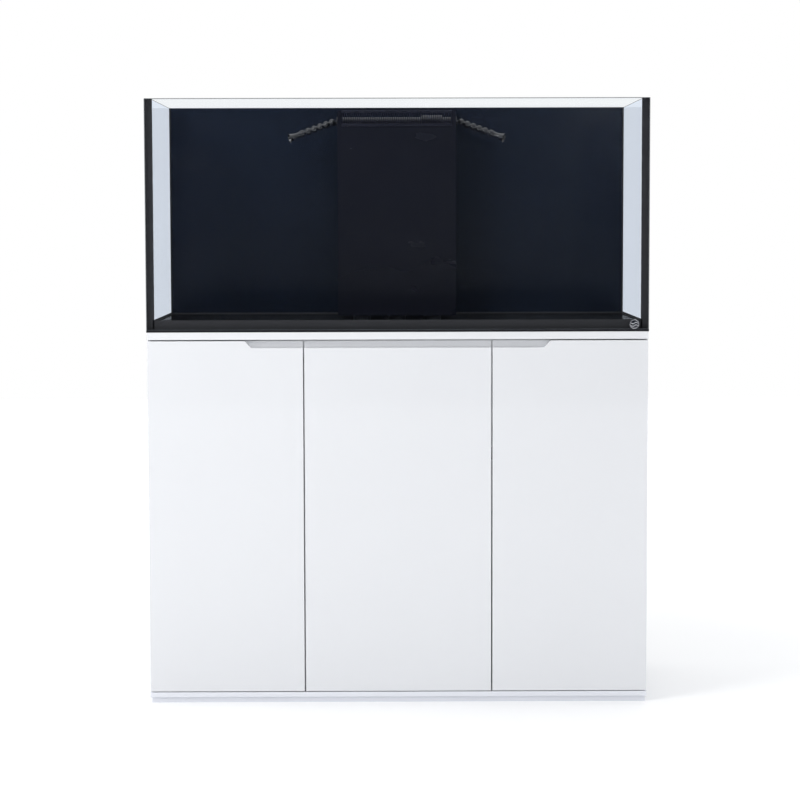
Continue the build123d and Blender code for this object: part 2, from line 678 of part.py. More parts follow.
# ---- sump --------------------------------------------------------------------------------------
def make_sump():
    """The glass sump on the cabinet floor, its baffles and the tray that holds the sock."""
    floor_top = BASE_BOARD_TOP + SUMP_GLASS
    wall_top = BASE_BOARD_TOP + SUMP_HEIGHT
    base_z = (BASE_BOARD_TOP, floor_top)
    block("sump_base_pane", (SUMP_LEFT, SUMP_RIGHT), (SUMP_FRONT, SUMP_BACK), base_z)
    inner_depth = SUMP_BACK - SUMP_FRONT - 2 * SUMP_GLASS
    middle_x = (SUMP_LEFT + SUMP_RIGHT) / 2
    middle_y = (SUMP_FRONT + SUMP_BACK) / 2
    with BuildPart() as sump_long_panes:
        with BuildSketch(Plane.XY.offset(floor_top)):
            long_rows = (SUMP_FRONT + SUMP_GLASS / 2, SUMP_BACK - SUMP_GLASS / 2)
            with Locations(*[(middle_x, y) for y in long_rows]):
                Rectangle(SUMP_RIGHT - SUMP_LEFT, SUMP_GLASS)
        extrude(amount=wall_top - floor_top)
    save(sump_long_panes.part, "sump_long_panes")

    with BuildPart() as sump_end_panes:
        with BuildSketch(Plane.XY.offset(floor_top)):
            end_columns = (SUMP_LEFT + SUMP_GLASS / 2, SUMP_RIGHT - SUMP_GLASS / 2)
            with Locations(*[(x, middle_y) for x in end_columns]):
                Rectangle(SUMP_GLASS, inner_depth)
        extrude(amount=wall_top - floor_top)
    save(sump_end_panes.part, "sump_end_panes")

    baffle_glass = 6.0
    # x, underside, top of each baffle: a bubble trap of three, then the top-up divider
    baffles = (
        (50.0, floor_top, 320.0),
        (76.0, 90.0, 350.0),
        (102.0, floor_top, 300.0),
        (425.0, floor_top, wall_top),
    )
    with BuildPart() as sump_baffles:
        for x, low, high in baffles:
            with BuildSketch(Plane.XY.offset(low)):
                with Locations((x, middle_y)):
                    Rectangle(baffle_glass, inner_depth)
            extrude(amount=high - low)
    save(sump_baffles.part, "sump_baffles")

    tray_left = SUMP_LEFT + SUMP_GLASS
    tray_right = 44.0
    with BuildPart() as sock_tray:
        with BuildSketch(Plane.XY.offset(TRAY_Z)):
            with Locations(((tray_left + tray_right) / 2, middle_y)):
                Rectangle(tray_right - tray_left, inner_depth)
            with Locations((SOCK_X, SOCK_Y)):
                Circle(SOCK_RADIUS + 3.0, mode=Mode.SUBTRACT)
        extrude(amount=TRAY_THICKNESS)
    save(sock_tray.part, "sock_tray")


def make_sock():
    """The filter sock: a plastic collar with a bail and the felt bag that hangs from it."""
    collar_foot = TRAY_Z + TRAY_THICKNESS
    collar_height = 6.0
    bail_radius = 3.0
    with BuildPart() as sock_collar:
        with BuildSketch(Plane.XY.offset(collar_foot)):
            with Locations((SOCK_X, SOCK_Y)):
                Circle(SOCK_RADIUS + 10.0)
                Circle(SOCK_RADIUS - SOCK_CLOTH, mode=Mode.SUBTRACT)
        extrude(amount=collar_height)
        fillet(sock_collar.edges().group_by(Axis.Z)[-1], radius=1.5)
        bail_centre = (SOCK_X, SOCK_Y, collar_foot + collar_height - 1)
        with BuildLine(Plane(origin=bail_centre, x_dir=(1, 0, 0), z_dir=(0, -1, 0))) as bail:
            CenterArc((0, 0), SOCK_RADIUS + 4.0, 0, 180)
        with BuildSketch(Plane(origin=bail.line @ 0, z_dir=bail.line % 0)):
            Circle(bail_radius)
        sweep(path=bail.line)
    save(sock_collar.part, "sock_collar")

    toe_radius = SOCK_RADIUS - 8.0
    with BuildPart() as filter_sock:
        with BuildSketch(Plane(origin=(SOCK_X, SOCK_Y, 0), x_dir=(1, 0, 0), z_dir=(0, -1, 0))):
            with BuildLine():
                Polyline(
                    (0, collar_foot - SOCK_LENGTH),
                    (toe_radius - 14.0, collar_foot - SOCK_LENGTH),
                    (toe_radius, collar_foot - SOCK_LENGTH + 14.0),
                    (SOCK_RADIUS, collar_foot),
                    (SOCK_RADIUS - SOCK_CLOTH, collar_foot),
                    (toe_radius - SOCK_CLOTH, collar_foot - SOCK_LENGTH + 15.0),
                    (toe_radius - 15.0, collar_foot - SOCK_LENGTH + SOCK_CLOTH),
                    (0, collar_foot - SOCK_LENGTH + SOCK_CLOTH),
                    close=True,
                )
            make_face()
        revolve(axis=Axis((SOCK_X, SOCK_Y, 0), (0, 0, 1)))
    save(filter_sock.part, "filter_sock")


def make_pump():
    """The return pump: motor, volute with outlet, intake cage and rubber feet."""
    volute_half = 24.0
    motor_radius = 29.0
    motor_length = 84.0
    volute_start = (PUMP_X - volute_half, PIPE_Y, PUMP_AXIS_Z)
    volute_plane = Plane(origin=volute_start, x_dir=(0, 1, 0), z_dir=(1, 0, 0))
    with BuildPart() as pump_volute:
        with BuildSketch(volute_plane):
            Circle(VOLUTE_RADIUS)
        extrude(amount=2 * volute_half)
        fillet(pump_volute.edges().filter_by(GeomType.CIRCLE), radius=4.0)
        with BuildSketch(Plane.XY.offset(PUMP_AXIS_Z + VOLUTE_RADIUS - 12.0)):
            with Locations((PUMP_X, PIPE_Y)):
                Circle(PIPE_RADIUS + 4.0)
        extrude(amount=36.0)
        with BuildSketch(Plane.XY.offset(PUMP_AXIS_Z + VOLUTE_RADIUS + 11.0)):
            with Locations((PUMP_X, PIPE_Y)):
                Circle(PIPE_RADIUS + PIPE_FIT)
        extrude(amount=20.0, mode=Mode.SUBTRACT)
    save(pump_volute.part, "pump_volute")

    with BuildPart() as pump_motor:
        with BuildSketch(volute_plane):
            Circle(motor_radius)
        extrude(amount=-motor_length)
        fillet(pump_motor.edges().group_by(Axis.X)[0], radius=10.0)
    save(pump_motor.part, "pump_motor")

    with BuildPart() as pump_intake:
        with BuildSketch(volute_plane.offset(2 * volute_half)):
            Circle(24.0)
        extrude(amount=24.0)
        fillet(pump_intake.edges().group_by(Axis.X)[-1], radius=6.0)
        with BuildSketch(volute_plane.offset(2 * volute_half)):
            Circle(19.0)
        extrude(amount=20.0, mode=Mode.SUBTRACT)
    save(pump_intake.part, "pump_intake")

    foot_top = PUMP_AXIS_Z - VOLUTE_RADIUS + 5.0
    floor_top = BASE_BOARD_TOP + SUMP_GLASS
    with BuildPart() as pump_feet:
        with BuildSketch(Plane.XY.offset(floor_top)):
            with Locations((PUMP_X - 40.0, PIPE_Y)):
                Rectangle(130.0, 66.0)
                Rectangle(100.0, 38.0, mode=Mode.SUBTRACT)
        extrude(amount=foot_top - floor_top)
        with BuildSketch(volute_plane):
            Circle(VOLUTE_RADIUS + PIPE_FIT)
        extrude(amount=2 * volute_half, mode=Mode.SUBTRACT)
        with BuildSketch(volute_plane):
            Circle(motor_radius + PIPE_FIT)
        extrude(amount=-motor_length, mode=Mode.SUBTRACT)
    save(pump_feet.part, "pump_feet")


# ---- doors and concealed hinges --------------------------------------------------------------
def hinge_plane(name, height):
    """A door's hinge plane at one height: x from the hinged edge into the door, y to the back."""
    edge_x, direction = DOORS[name][2], DOORS[name][3]
    return Plane(origin=(edge_x, FRONT, height), x_dir=(direction, 0, 0), z_dir=(0, 0, direction))


def cup_face(name, height, depth):
    """The plane of a hinge cup, parallel to the door, looking into the cabinet."""
    edge_x, direction = DOORS[name][2], DOORS[name][3]
    return Plane(
        origin=(edge_x + direction * CUP_CENTRE_X, FRONT + depth, height),
        x_dir=(direction, 0, 0),
        z_dir=(0, 1, 0),
    )


def pull_cutter():
    """The finger pull: a shallow trapezoid off the doors' fronts and a groove behind the lip it leaves."""
    front_face = Plane(origin=(0, FRONT, 0), x_dir=(1, 0, 0), z_dir=(0, -1, 0))
    pull_foot = DOOR_TOP - PULL_DEPTH
    groove_back = FRONT + PULL_LIP + PULL_GROOVE
    with BuildPart() as cutter:
        with BuildSketch(front_face) as pull:
            with BuildLine():
                Polyline(
                    (-PULL_HALF_WIDTH - PULL_CORNER, DOOR_TOP + PULL_DEPTH),
                    (-PULL_HALF_WIDTH, DOOR_TOP),
                    (-PULL_FOOT_HALF_WIDTH, pull_foot),
                    (PULL_FOOT_HALF_WIDTH, pull_foot),
                    (PULL_HALF_WIDTH, DOOR_TOP),
                    (PULL_HALF_WIDTH + PULL_CORNER, DOOR_TOP + PULL_DEPTH),
                    close=True,
                )
            make_face()
            fillet(pull.vertices().group_by(Axis.Y)[0], radius=PULL_CORNER)
        extrude(amount=-(PULL_LIP + PULL_GROOVE))
        with BuildSketch(Plane.XY.offset(PULL_GROOVE_FOOT)):
            with Locations((0, groove_back - PULL_GROOVE / 2)):
                Rectangle(2 * PULL_FOOT_HALF_WIDTH, PULL_GROOVE)
        extrude(amount=pull_foot + PULL_CORNER - PULL_GROOVE_FOOT)
    return cutter.part


def make_door(name):
    """One door panel with its share of the finger pull and the bores for two hinge cups."""
    left, right = DOORS[name][0], DOORS[name][1]
    pull_foot = DOOR_TOP - PULL_DEPTH
    with BuildPart() as door:
        with BuildSketch(Plane.XY.offset(DOOR_BOTTOM)):
            with Locations(((left + right) / 2, FRONT + DOOR_THICKNESS / 2)):
                Rectangle(right - left, DOOR_THICKNESS)
        extrude(amount=DOOR_TOP - DOOR_BOTTOM)
        add(pull_cutter(), mode=Mode.SUBTRACT)
        for height in HINGE_HEIGHTS:
            with BuildSketch(cup_face(name, height, CUP_FLOOR_Y)):
                Circle(CUP_BORE_RADIUS)
            extrude(amount=DOOR_THICKNESS - CUP_FLOOR_Y, mode=Mode.SUBTRACT)
        front_edges = door.edges().group_by(Axis.Y)[0]
        fillet(front_edges, radius=DOOR_EDGE_RADIUS)
        level_edges = door.edges().filter_by(Axis.X)
        lip_edges = level_edges.filter_by_position(Axis.Z, pull_foot - 0.1, pull_foot + 0.1)
        fillet(lip_edges.sort_by(Axis.Y)[-1], radius=PULL_LIP_RADIUS)
    save(door.part, name)

    with BuildPart() as bumpers:
        free_x = left + right - DOORS[name][2] - DOORS[name][3] * BUMPER_INSET
        for height in BUMPER_HEIGHTS:
            with BuildSketch(Plane(origin=(free_x, FRONT + DOOR_THICKNESS, height), z_dir=(0, 1, 0))):
                Circle(BUMPER_RADIUS)
            extrude(amount=BUMPER_THICKNESS)
        fillet(bumpers.edges().group_by(Axis.Y)[-1], radius=BUMPER_THICKNESS / 2)
    save(bumpers.part, f"{name}_bumpers")


def make_cups(name):
    """The two hinge cups let into a door, with the cheeks that hold the crank's front pin."""
    wing_thickness = 0.8
    wing_half_height = 26.0
    cheek_height = 6.0
    with BuildPart() as cups:
        for height in HINGE_HEIGHTS:
            with BuildSketch(cup_face(name, height, CUP_FLOOR_Y)):
                Circle(CUP_RADIUS)
            extrude(amount=DOOR_THICKNESS - CUP_FLOOR_Y)
            with BuildSketch(cup_face(name, height, CUP_FLOOR_Y + CUP_WALL)):
                Circle(CUP_POCKET_RADIUS)
            extrude(amount=DOOR_THICKNESS - CUP_FLOOR_Y - CUP_WALL, mode=Mode.SUBTRACT)
            with BuildSketch(hinge_plane(name, height).offset(-CHEEK_GAP - cheek_height)):
                cheek_outline()
            extrude(amount=cheek_height)
            with BuildSketch(hinge_plane(name, height).offset(CHEEK_GAP)):
                cheek_outline()
            extrude(amount=cheek_height)
            with BuildSketch(hinge_plane(name, height)):
                with Locations(CUP_PIVOT):
                    Circle(PIN_RADIUS + PIN_PLAY)
            extrude(amount=CHEEK_GAP + cheek_height, both=True, mode=Mode.SUBTRACT)
            with BuildSketch(cup_face(name, height, DOOR_THICKNESS)):
                for side in (-1, 1):
                    with Locations((3.0, side * (wing_half_height - 6.0))):
                        RectangleRounded(16.0, 12.0, 4.0)
            extrude(amount=wing_thickness)
    save(cups.part, f"{name}_hinge_cups")


def cheek_outline():
    """Draw one pin cheek, standing on the cup's floor."""
    low = CUP_FLOOR_Y + CUP_WALL
    with BuildLine() as outline:
        Polyline((7.4, low), (15.0, low), (15.0, 13.0), (13.0, 16.5), (9.0, 16.5), (7.4, 14.0), close=True)
    make_face(outline.edges())


def make_cranks(name):
    """The two crank links of a door, each a bent strip with a riveted pin through either end."""
    with BuildPart() as cranks:
        for height in HINGE_HEIGHTS:
            plane = hinge_plane(name, height)
            with BuildSketch(plane) as strip:
                with BuildLine() as centre_line:
                    Polyline(CUP_PIVOT, *CRANK_KNEES, ARM_PIVOT)
                trace(line_width=CRANK_THICKNESS)
                with Locations(CUP_PIVOT):
                    Circle(2.6)
                with Locations(ARM_PIVOT):
                    Circle(3.2)
            extrude(amount=CRANK_WIDTH / 2, both=True)
            for pivot, length in ((CUP_PIVOT, CUP_PIN_LENGTH), (ARM_PIVOT, ARM_PIN_LENGTH)):
                with BuildSketch(plane):
                    with Locations(pivot):
                        Circle(PIN_RADIUS)
                extrude(amount=length / 2, both=True)
    save(cranks.part, f"{name}_hinge_cranks")


def make_arms():
    """The hinge arms of every door, forked round the cranks and footed on the carcass panels."""
    arm_half = 6.8
    fork_length = 28.0
    fork_width = 20.0
    foot_y = 84.0
    foot_length = 34.0
    plate_thickness = 3.0
    plate_half = 24.0
    plate_width = 20.0
    with BuildPart() as hinge_arms:
        for name, height in [(name, height) for name in DOORS for height in HINGE_HEIGHTS]:
            inset = PANEL_INSETS[name]
            plane = hinge_plane(name, height)
            with BuildSketch(plane):
                with BuildLine():
                    Polyline(
                        (inset, foot_y - foot_length),
                        (inset, foot_y),
                        (inset + 13.0, foot_y),
                        (inset + 16.0, 50.0),
                        (34.0, 38.0),
                        (35.0, 27.0),
                        (30.0, 22.5),
                        (26.0, 24.0),
                        (25.5, 30.0),
                        (max(inset + 4.0, 20.0), 40.0),
                        close=True,
                    )
                make_face()
            extrude(amount=arm_half, both=True)
            with BuildSketch(plane):
                with Locations((ARM_PIVOT[0] - 2.0, ARM_PIVOT[1] - 4.0)):
                    Rectangle(fork_length, fork_width)
            extrude(amount=CRANK_WIDTH / 2 + BALL_PLAY, both=True, mode=Mode.SUBTRACT)
            with BuildSketch(plane):
                with Locations(ARM_PIVOT):
                    Circle(PIN_RADIUS + PIN_PLAY)
            extrude(amount=arm_half, both=True, mode=Mode.SUBTRACT)
            with BuildSketch(plane):
                with Locations((inset + plate_thickness / 2, foot_y - foot_length + plate_width)):
                    Rectangle(plate_thickness, plate_width)
            extrude(amount=plate_half, both=True)
    save(hinge_arms.part, "hinge_arms")


def main():
    """Build every sub-part and write the STEP files."""
    os.makedirs("parts", exist_ok=True)
    make_carcass()
    make_back_panel()
    make_tank()
    make_badge()
    make_weir()
    make_bulkheads()
    make_pipes()
    make_valve()
    make_sump()
    make_sock()
    make_pump()
    make_flanges()
    for side_name, side in (("left", -1), ("right", 1)):
        make_nozzle(side_name, side)
    for name in DOORS:
        make_door(name)
        make_cups(name)
        make_cranks(name)
    make_arms()


if __name__ == "__main__":
    main()
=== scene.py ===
"""Looks of a rimless reef aquarium on its three-door cabinet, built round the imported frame."""

import json
import logging
import math
from collections.abc import Callable, Sequence
from dataclasses import dataclass
from enum import Enum

import bmesh
import bpy
import numpy as np
from mathutils import Matrix, Vector


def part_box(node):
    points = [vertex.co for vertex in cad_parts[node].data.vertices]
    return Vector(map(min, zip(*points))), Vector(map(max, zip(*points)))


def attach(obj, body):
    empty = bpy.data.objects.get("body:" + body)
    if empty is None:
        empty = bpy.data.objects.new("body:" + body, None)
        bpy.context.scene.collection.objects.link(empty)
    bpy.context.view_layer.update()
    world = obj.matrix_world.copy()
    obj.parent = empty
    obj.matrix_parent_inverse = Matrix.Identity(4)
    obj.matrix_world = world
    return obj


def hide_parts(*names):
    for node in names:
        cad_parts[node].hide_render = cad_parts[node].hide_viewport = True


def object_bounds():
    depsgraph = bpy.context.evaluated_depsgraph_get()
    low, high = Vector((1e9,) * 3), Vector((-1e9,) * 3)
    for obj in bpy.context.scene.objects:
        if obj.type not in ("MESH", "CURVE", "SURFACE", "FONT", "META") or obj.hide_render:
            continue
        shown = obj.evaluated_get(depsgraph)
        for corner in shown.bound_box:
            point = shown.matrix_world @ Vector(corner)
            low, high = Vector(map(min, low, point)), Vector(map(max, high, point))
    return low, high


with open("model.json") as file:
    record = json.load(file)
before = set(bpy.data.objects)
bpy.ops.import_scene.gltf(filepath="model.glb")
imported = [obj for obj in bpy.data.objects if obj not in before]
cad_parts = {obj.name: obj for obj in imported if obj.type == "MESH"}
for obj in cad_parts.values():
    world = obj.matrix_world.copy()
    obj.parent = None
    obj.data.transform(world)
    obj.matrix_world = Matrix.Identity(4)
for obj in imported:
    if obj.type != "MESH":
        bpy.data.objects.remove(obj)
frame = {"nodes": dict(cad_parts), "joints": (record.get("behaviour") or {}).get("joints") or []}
CAD_BOX = [list(corner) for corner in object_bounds()]

logging.basicConfig(level=logging.INFO, format="%(name)s: %(message)s")
log = logging.getLogger("aquarium")

Array = np.ndarray
Colour = tuple[float, float, float]
MM = 0.001
TURN = 2 * math.pi


# ---- shader maths ---------------------------------------------------------------------------


class Value:
    """One number in a shader, usable in Python expressions, which add its Math nodes."""

    def __init__(self, shader: "Shader", socket: bpy.types.NodeSocket) -> None:
        """Wrap an output socket of the shader's tree."""
        self.shader = shader
        self.socket = socket

    def __add__(self, other: "Value | float") -> "Value":
        """Sum."""
        return self.shader.math("ADD", self, other)

    __radd__ = __add__

    def __sub__(self, other: "Value | float") -> "Value":
        """Difference."""
        return self.shader.math("SUBTRACT", self, other)

    def __rsub__(self, other: float) -> "Value":
        """Difference from a plain number."""
        return self.shader.math("SUBTRACT", other, self)

    def __mul__(self, other: "Value | float") -> "Value":
        """Product."""
        return self.shader.math("MULTIPLY", self, other)

    __rmul__ = __mul__

    def __pow__(self, other: float) -> "Value":
        """Power."""
        return self.shader.math("POWER", self, other)

    def ramp(self, low: float, high: float) -> "Value":
        """Rise smoothly from 0 at low to 1 at high.

        Args:
            low: The value that gives 0.
            high: The value that gives 1.

        Returns:
            The smooth step.
        """
        made = self.shader.node(
            "ShaderNodeMapRange",
            {"interpolation_type": "SMOOTHSTEP", "clamp": True},
            {"Value": self, "From Min": low, "From Max": high},
        )
        return Value(self.shader, made.outputs["Result"])


class Shader:
    """A node tree being built: a material's or the world's."""

    def __init__(self, tree: bpy.types.NodeTree) -> None:
        """Empty the tree, ready for new nodes."""
        self.tree = tree
        tree.nodes.clear()
        self.place = None

    def node(self, kind: str, settings: dict | None = None, inputs: dict | None = None) -> bpy.types.Node:
        """Add any node.

        Args:
            kind: The node's type name.
            settings: Attributes set before the sockets, such as an operation.
            inputs: Socket name or number to a value, a Value or a socket to link.

        Returns:
            The new node.
        """
        made = self.tree.nodes.new(kind)
        for name, setting in (settings or {}).items():
            setattr(made, name, setting)
        for name, value in (inputs or {}).items():
            self.feed(made.inputs[name], value)
        return made

    def feed(self, socket: bpy.types.NodeSocket, value: object) -> None:
        """Set a socket to a constant, or link a Value or an output socket to it."""
        if isinstance(value, Value):
            self.tree.links.new(value.socket, socket)
        elif isinstance(value, bpy.types.NodeSocket):
            self.tree.links.new(value, socket)
        elif isinstance(value, tuple) and len(value) == 3 and socket.type == "RGBA":
            socket.default_value = (*value, 1.0)
        else:
            socket.default_value = value

    def math(self, operation: str, first: "Value | float", second: "Value | float") -> Value:
        """Add one Math node and return its result."""
        made = self.node("ShaderNodeMath", {"operation": operation}, {0: first, 1: second})
        return Value(self, made.outputs[0])

    def spot(self, stretch: Colour = (1.0, 1.0, 1.0)) -> bpy.types.NodeSocket:
        """Object coordinates, in metres, stretched along each axis."""
        if self.place is None:
            self.place = self.node("ShaderNodeTexCoord").outputs["Object"]
        if stretch == (1.0, 1.0, 1.0):
            return self.place
        return self.node("ShaderNodeMapping", None, {"Vector": self.place, "Scale": stretch}).outputs[0]

    def noise(self, scale: float, detail: float = 2.0, stretch: Colour = (1.0, 1.0, 1.0)) -> Value:
        """Fractal noise between 0 and 1 with its features 1/scale metres apart."""
        inputs = {"Vector": self.spot(stretch), "Scale": scale, "Detail": detail}
        return Value(self, self.node("ShaderNodeTexNoise", None, inputs).outputs["Fac"])

    def cells(self, scale: float) -> Value:
        """Distance to the nearest of scattered points 1/scale metres apart."""
        inputs = {"Vector": self.spot(), "Scale": scale}
        return Value(self, self.node("ShaderNodeTexVoronoi", None, inputs).outputs["Distance"])

    def blend(self, factor: Value, first: object, second: object) -> bpy.types.NodeSocket:
        """Mix two colours by a factor."""
        made = self.node("ShaderNodeMix", {"data_type": "RGBA"}, {0: factor, 6: first, 7: second})
        return made.outputs[2]

    def bump(self, height: Value, depth: float, strength: float = 1.0) -> bpy.types.NodeSocket:
        """Normal of a relief depth metres high."""
        inputs = {"Height": height, "Distance": depth, "Strength": strength}
        return self.node("ShaderNodeBump", None, inputs).outputs["Normal"]


def shade(colour: Colour, factor: float) -> Colour:
    """The colour made lighter or darker by a factor."""
    return tuple(min(1.0, channel * factor) for channel in colour)


@dataclass(frozen=True)
class Finish:
    """A surface finish: a named material on the Principled shader.

    Attributes:
        name: The material's name.
        colour: Its mean linear colour.
        roughness: Its mean roughness.
    """

    name: str
    colour: Colour
    roughness: float

    def inputs(self, shader: Shader) -> dict:
        """The Principled sockets of this finish; each opaque kind has its own."""
        raise NotImplementedError

    def surface(self, shader: Shader) -> bpy.types.NodeSocket:
        """The shader that the material shows: one Principled node unless a kind says otherwise."""
        return shader.node("ShaderNodeBsdfPrincipled", None, self.inputs(shader)).outputs[0]

    def make(self) -> bpy.types.Material:
        """Build the material once and return it."""
        known = bpy.data.materials.get(self.name)
        if known is not None:
            return known
        material = bpy.data.materials.new(self.name)
        material.use_nodes = True
        shader = Shader(material.node_tree)
        shader.node("ShaderNodeOutputMaterial", None, {"Surface": self.surface(shader)})
        return material


@dataclass(frozen=True)
class Lacquer(Finish):
    """Sprayed gloss lacquer: a faint orange peel under a clear coat."""

    coat: float = 0.5
    peel: float = 0.00002

    def inputs(self, shader: Shader) -> dict:
        """Cloudy colour, cloudy gloss and orange peel a few millimetres across."""
        cloud = shader.noise(2.5, 3.0)
        return {
            "Base Color": shader.blend(cloud, shade(self.colour, 0.985), shade(self.colour, 1.01)),
            "Roughness": shader.noise(14.0) * 0.06 + (self.roughness - 0.03),
            "Coat Weight": self.coat,
            "Coat Roughness": 0.04,
            "Normal": shader.bump(shader.noise(420.0, 1.0), self.peel),
        }


@dataclass(frozen=True)
class Laminate(Finish):
    """Satin laminate or melamine with a fine pressed grain."""

    grain: float = 900.0

    def inputs(self, shader: Shader) -> dict:
        """Fine speckle in colour and gloss, with pressed pores."""
        speckle = shader.noise(self.grain, 3.0)
        return {
            "Base Color": shader.blend(speckle, shade(self.colour, 0.96), shade(self.colour, 1.03)),
            "Roughness": shader.noise(60.0) * 0.1 + (self.roughness - 0.05),
            "Normal": shader.bump(speckle, 0.00003),
        }


@dataclass(frozen=True)
class Glass(Finish):
    """Polished float glass: clear and tinted by its colour, with a gleam that grows edge-on.

    Attributes:
        gleam: How much it mirrors when seen square on.
        edge_gleam: How much more it mirrors when seen edge-on.
        bends: Whether it shifts what is behind it, as a thick pane seen edge-on does.
    """

    gleam: float = 0.04
    edge_gleam: float = 0.16
    bends: bool = False

    def surface(self, shader: Shader) -> bpy.types.NodeSocket:
        """Mix the clear tint with a polished mirror; the share is gleam + edge_gleam * facing^5."""
        marks = shader.noise(3.0, 4.0, (1.0, 1.0, 3.0)).ramp(0.55, 0.85)
        facing = Value(shader, shader.node("ShaderNodeLayerWeight", None, {"Blend": 0.5}).outputs["Facing"])
        if self.bends:
            through = {"Color": self.colour, "IOR": 1.5, "Roughness": 0.0}
            clear = shader.node("ShaderNodeBsdfRefraction", None, through)
        else:
            clear = shader.node("ShaderNodeBsdfTransparent", None, {"Color": self.colour})
        mirror = shader.node(
            "ShaderNodeBsdfPrincipled",
            None,
            {
                "Base Color": shader.blend(marks, (0.95, 0.97, 1.0), (0.88, 0.9, 0.94)),
                "Metallic": 1.0,
                "Roughness": marks * 0.12 + self.roughness,
            },
        )
        share = facing**5.0 * self.edge_gleam + marks * 0.008 + self.gleam
        sides = {0: share, 1: clear.outputs[0], 2: mirror.outputs[0]}
        mixed = shader.node("ShaderNodeMixShader", None, sides)
        return mixed.outputs[0]


@dataclass(frozen=True)
class GroundEdge(Finish):
    """A machine-ground glass edge: frosted, with fine wheel marks along it."""

    body: float = 0.75

    def inputs(self, shader: Shader) -> dict:
        """Pale frosted glass with grinding lines."""
        lines = shader.noise(300.0, 2.0, (0.05, 0.05, 1.0))
        return {
            "Base Color": shader.blend(lines, shade(self.colour, 0.9), self.colour),
            "Roughness": lines * 0.15 + self.roughness,
            "Alpha": self.body,
            "IOR": 1.5,
            "Normal": shader.bump(lines, 0.00003),
        }


@dataclass(frozen=True)
class Gloss(Finish):
    """A dark polished sheet, such as back-painted glass or acrylic."""

    coat: float = 0.3
    shine: float = 0.5

    def inputs(self, shader: Shader) -> dict:
        """Deep colour with faint clouds, and a polish that wiping has dulled here and there."""
        cloud = shader.noise(1.6, 3.0)
        wiped = shader.noise(7.0, 4.0, (1.0, 1.0, 2.0))
        return {
            "Base Color": shader.blend(cloud, shade(self.colour, 0.8), shade(self.colour, 1.2)),
            "Roughness": wiped * 0.08 + (self.roughness - 0.04),
            "Specular IOR Level": self.shine,
            "Coat Weight": self.coat,
            "Coat Roughness": 0.08,
        }


@dataclass(frozen=True)
class Moulded(Finish):
    """Injection-moulded plastic with a spark-eroded grain."""

    grain: float = 1500.0
    relief: float = 0.00003
    shine: float = 0.5

    def inputs(self, shader: Shader) -> dict:
        """Even colour, slightly mottled gloss, fine grain."""
        grain = shader.noise(self.grain, 2.0)
        flow = shader.noise(25.0, 3.0)
        return {
            "Base Color": shader.blend(flow, shade(self.colour, 0.88), shade(self.colour, 1.1)),
            "Roughness": flow * 0.12 + (self.roughness - 0.06),
            "Specular IOR Level": self.shine,
            "Normal": shader.bump(grain, self.relief),
        }


@dataclass(frozen=True)
class Extruded(Finish):
    """Extruded rigid pipe: long die lines along the run and a satin skin."""

    def inputs(self, shader: Shader) -> dict:
        """Die lines stretched along the vertical runs."""
        lines = shader.noise(700.0, 2.0, (1.0, 1.0, 0.02))
        flow = shader.noise(12.0, 3.0)
        return {
            "Base Color": shader.blend(flow, shade(self.colour, 0.92), shade(self.colour, 1.06)),
            "Roughness": lines * 0.12 + (self.roughness - 0.06),
            "Normal": shader.bump(lines, 0.00003),
        }


@dataclass(frozen=True)
class Silicone(Finish):
    """Cured sealant, tooled with a fingertip: long soft ripples and a rubbery sheen."""

    def inputs(self, shader: Shader) -> dict:
        """Ripples across the bead and a faint bloom."""
        ripple = shader.noise(90.0, 2.0, (1.0, 1.0, 0.3))
        bloom = shader.noise(20.0, 3.0)
        return {
            "Base Color": shader.blend(bloom, shade(self.colour, 0.8), shade(self.colour, 1.3)),
            "Roughness": bloom * 0.15 + (self.roughness - 0.07),
            "Specular IOR Level": 0.15,
            "Normal": shader.bump(ripple, 0.0002),
        }


@dataclass(frozen=True)
class Foam(Finish):
    """Closed-cell foam: tiny open bubbles on its cut faces."""

    def inputs(self, shader: Shader) -> dict:
        """Pits 0.8 mm apart, with painted shade: the colour darkens towards each pit's middle."""
        pits_and_shade = shader.cells(1200.0)
        return {
            # painted shade: the colour falls to half in each pit and rises between the pits
            "Base Color": shader.blend(pits_and_shade, shade(self.colour, 0.5), shade(self.colour, 1.4)),
            "Roughness": self.roughness,
            "Specular IOR Level": 0.2,
            "Normal": shader.bump(pits_and_shade, 0.0002),
        }


@dataclass(frozen=True)
class Felt(Finish):
    """Needled polyester felt: matted fibres over a dimpled face."""

    def inputs(self, shader: Shader) -> dict:
        """Fibres in three crossing directions, and needle dimples."""
        across = shader.noise(500.0, 4.0, (1.0, 1.0, 0.15))
        along = shader.noise(500.0, 4.0, (0.2, 0.2, 1.0))
        dimples = shader.cells(260.0)
        fibres = across * 0.5 + along * 0.5
        return {
            "Base Color": shader.blend(fibres, shade(self.colour, 0.78), shade(self.colour, 1.05)),
            "Roughness": fibres * 0.1 + (self.roughness - 0.05),
            "Sheen Weight": 0.3,
            "Normal": shader.bump(fibres + dimples * 0.6, 0.0006),
        }


@dataclass(frozen=True)
class Metal(Finish):
    """Plated or brushed metal with fine drawn lines."""

    stretch: Colour = (1.0, 1.0, 0.05)

    def inputs(self, shader: Shader) -> dict:
        """Drawn lines in gloss and relief, with a cloudy plating colour."""
        lines = shader.noise(1800.0, 2.0, self.stretch)
        cloud = shader.noise(40.0, 2.0)
        return {
            "Base Color": shader.blend(cloud, shade(self.colour, 0.9), shade(self.colour, 1.05)),
            "Roughness": lines * 0.16 + (self.roughness - 0.08),
            "Metallic": 1.0,
            "Normal": shader.bump(lines, 0.00002),
        }


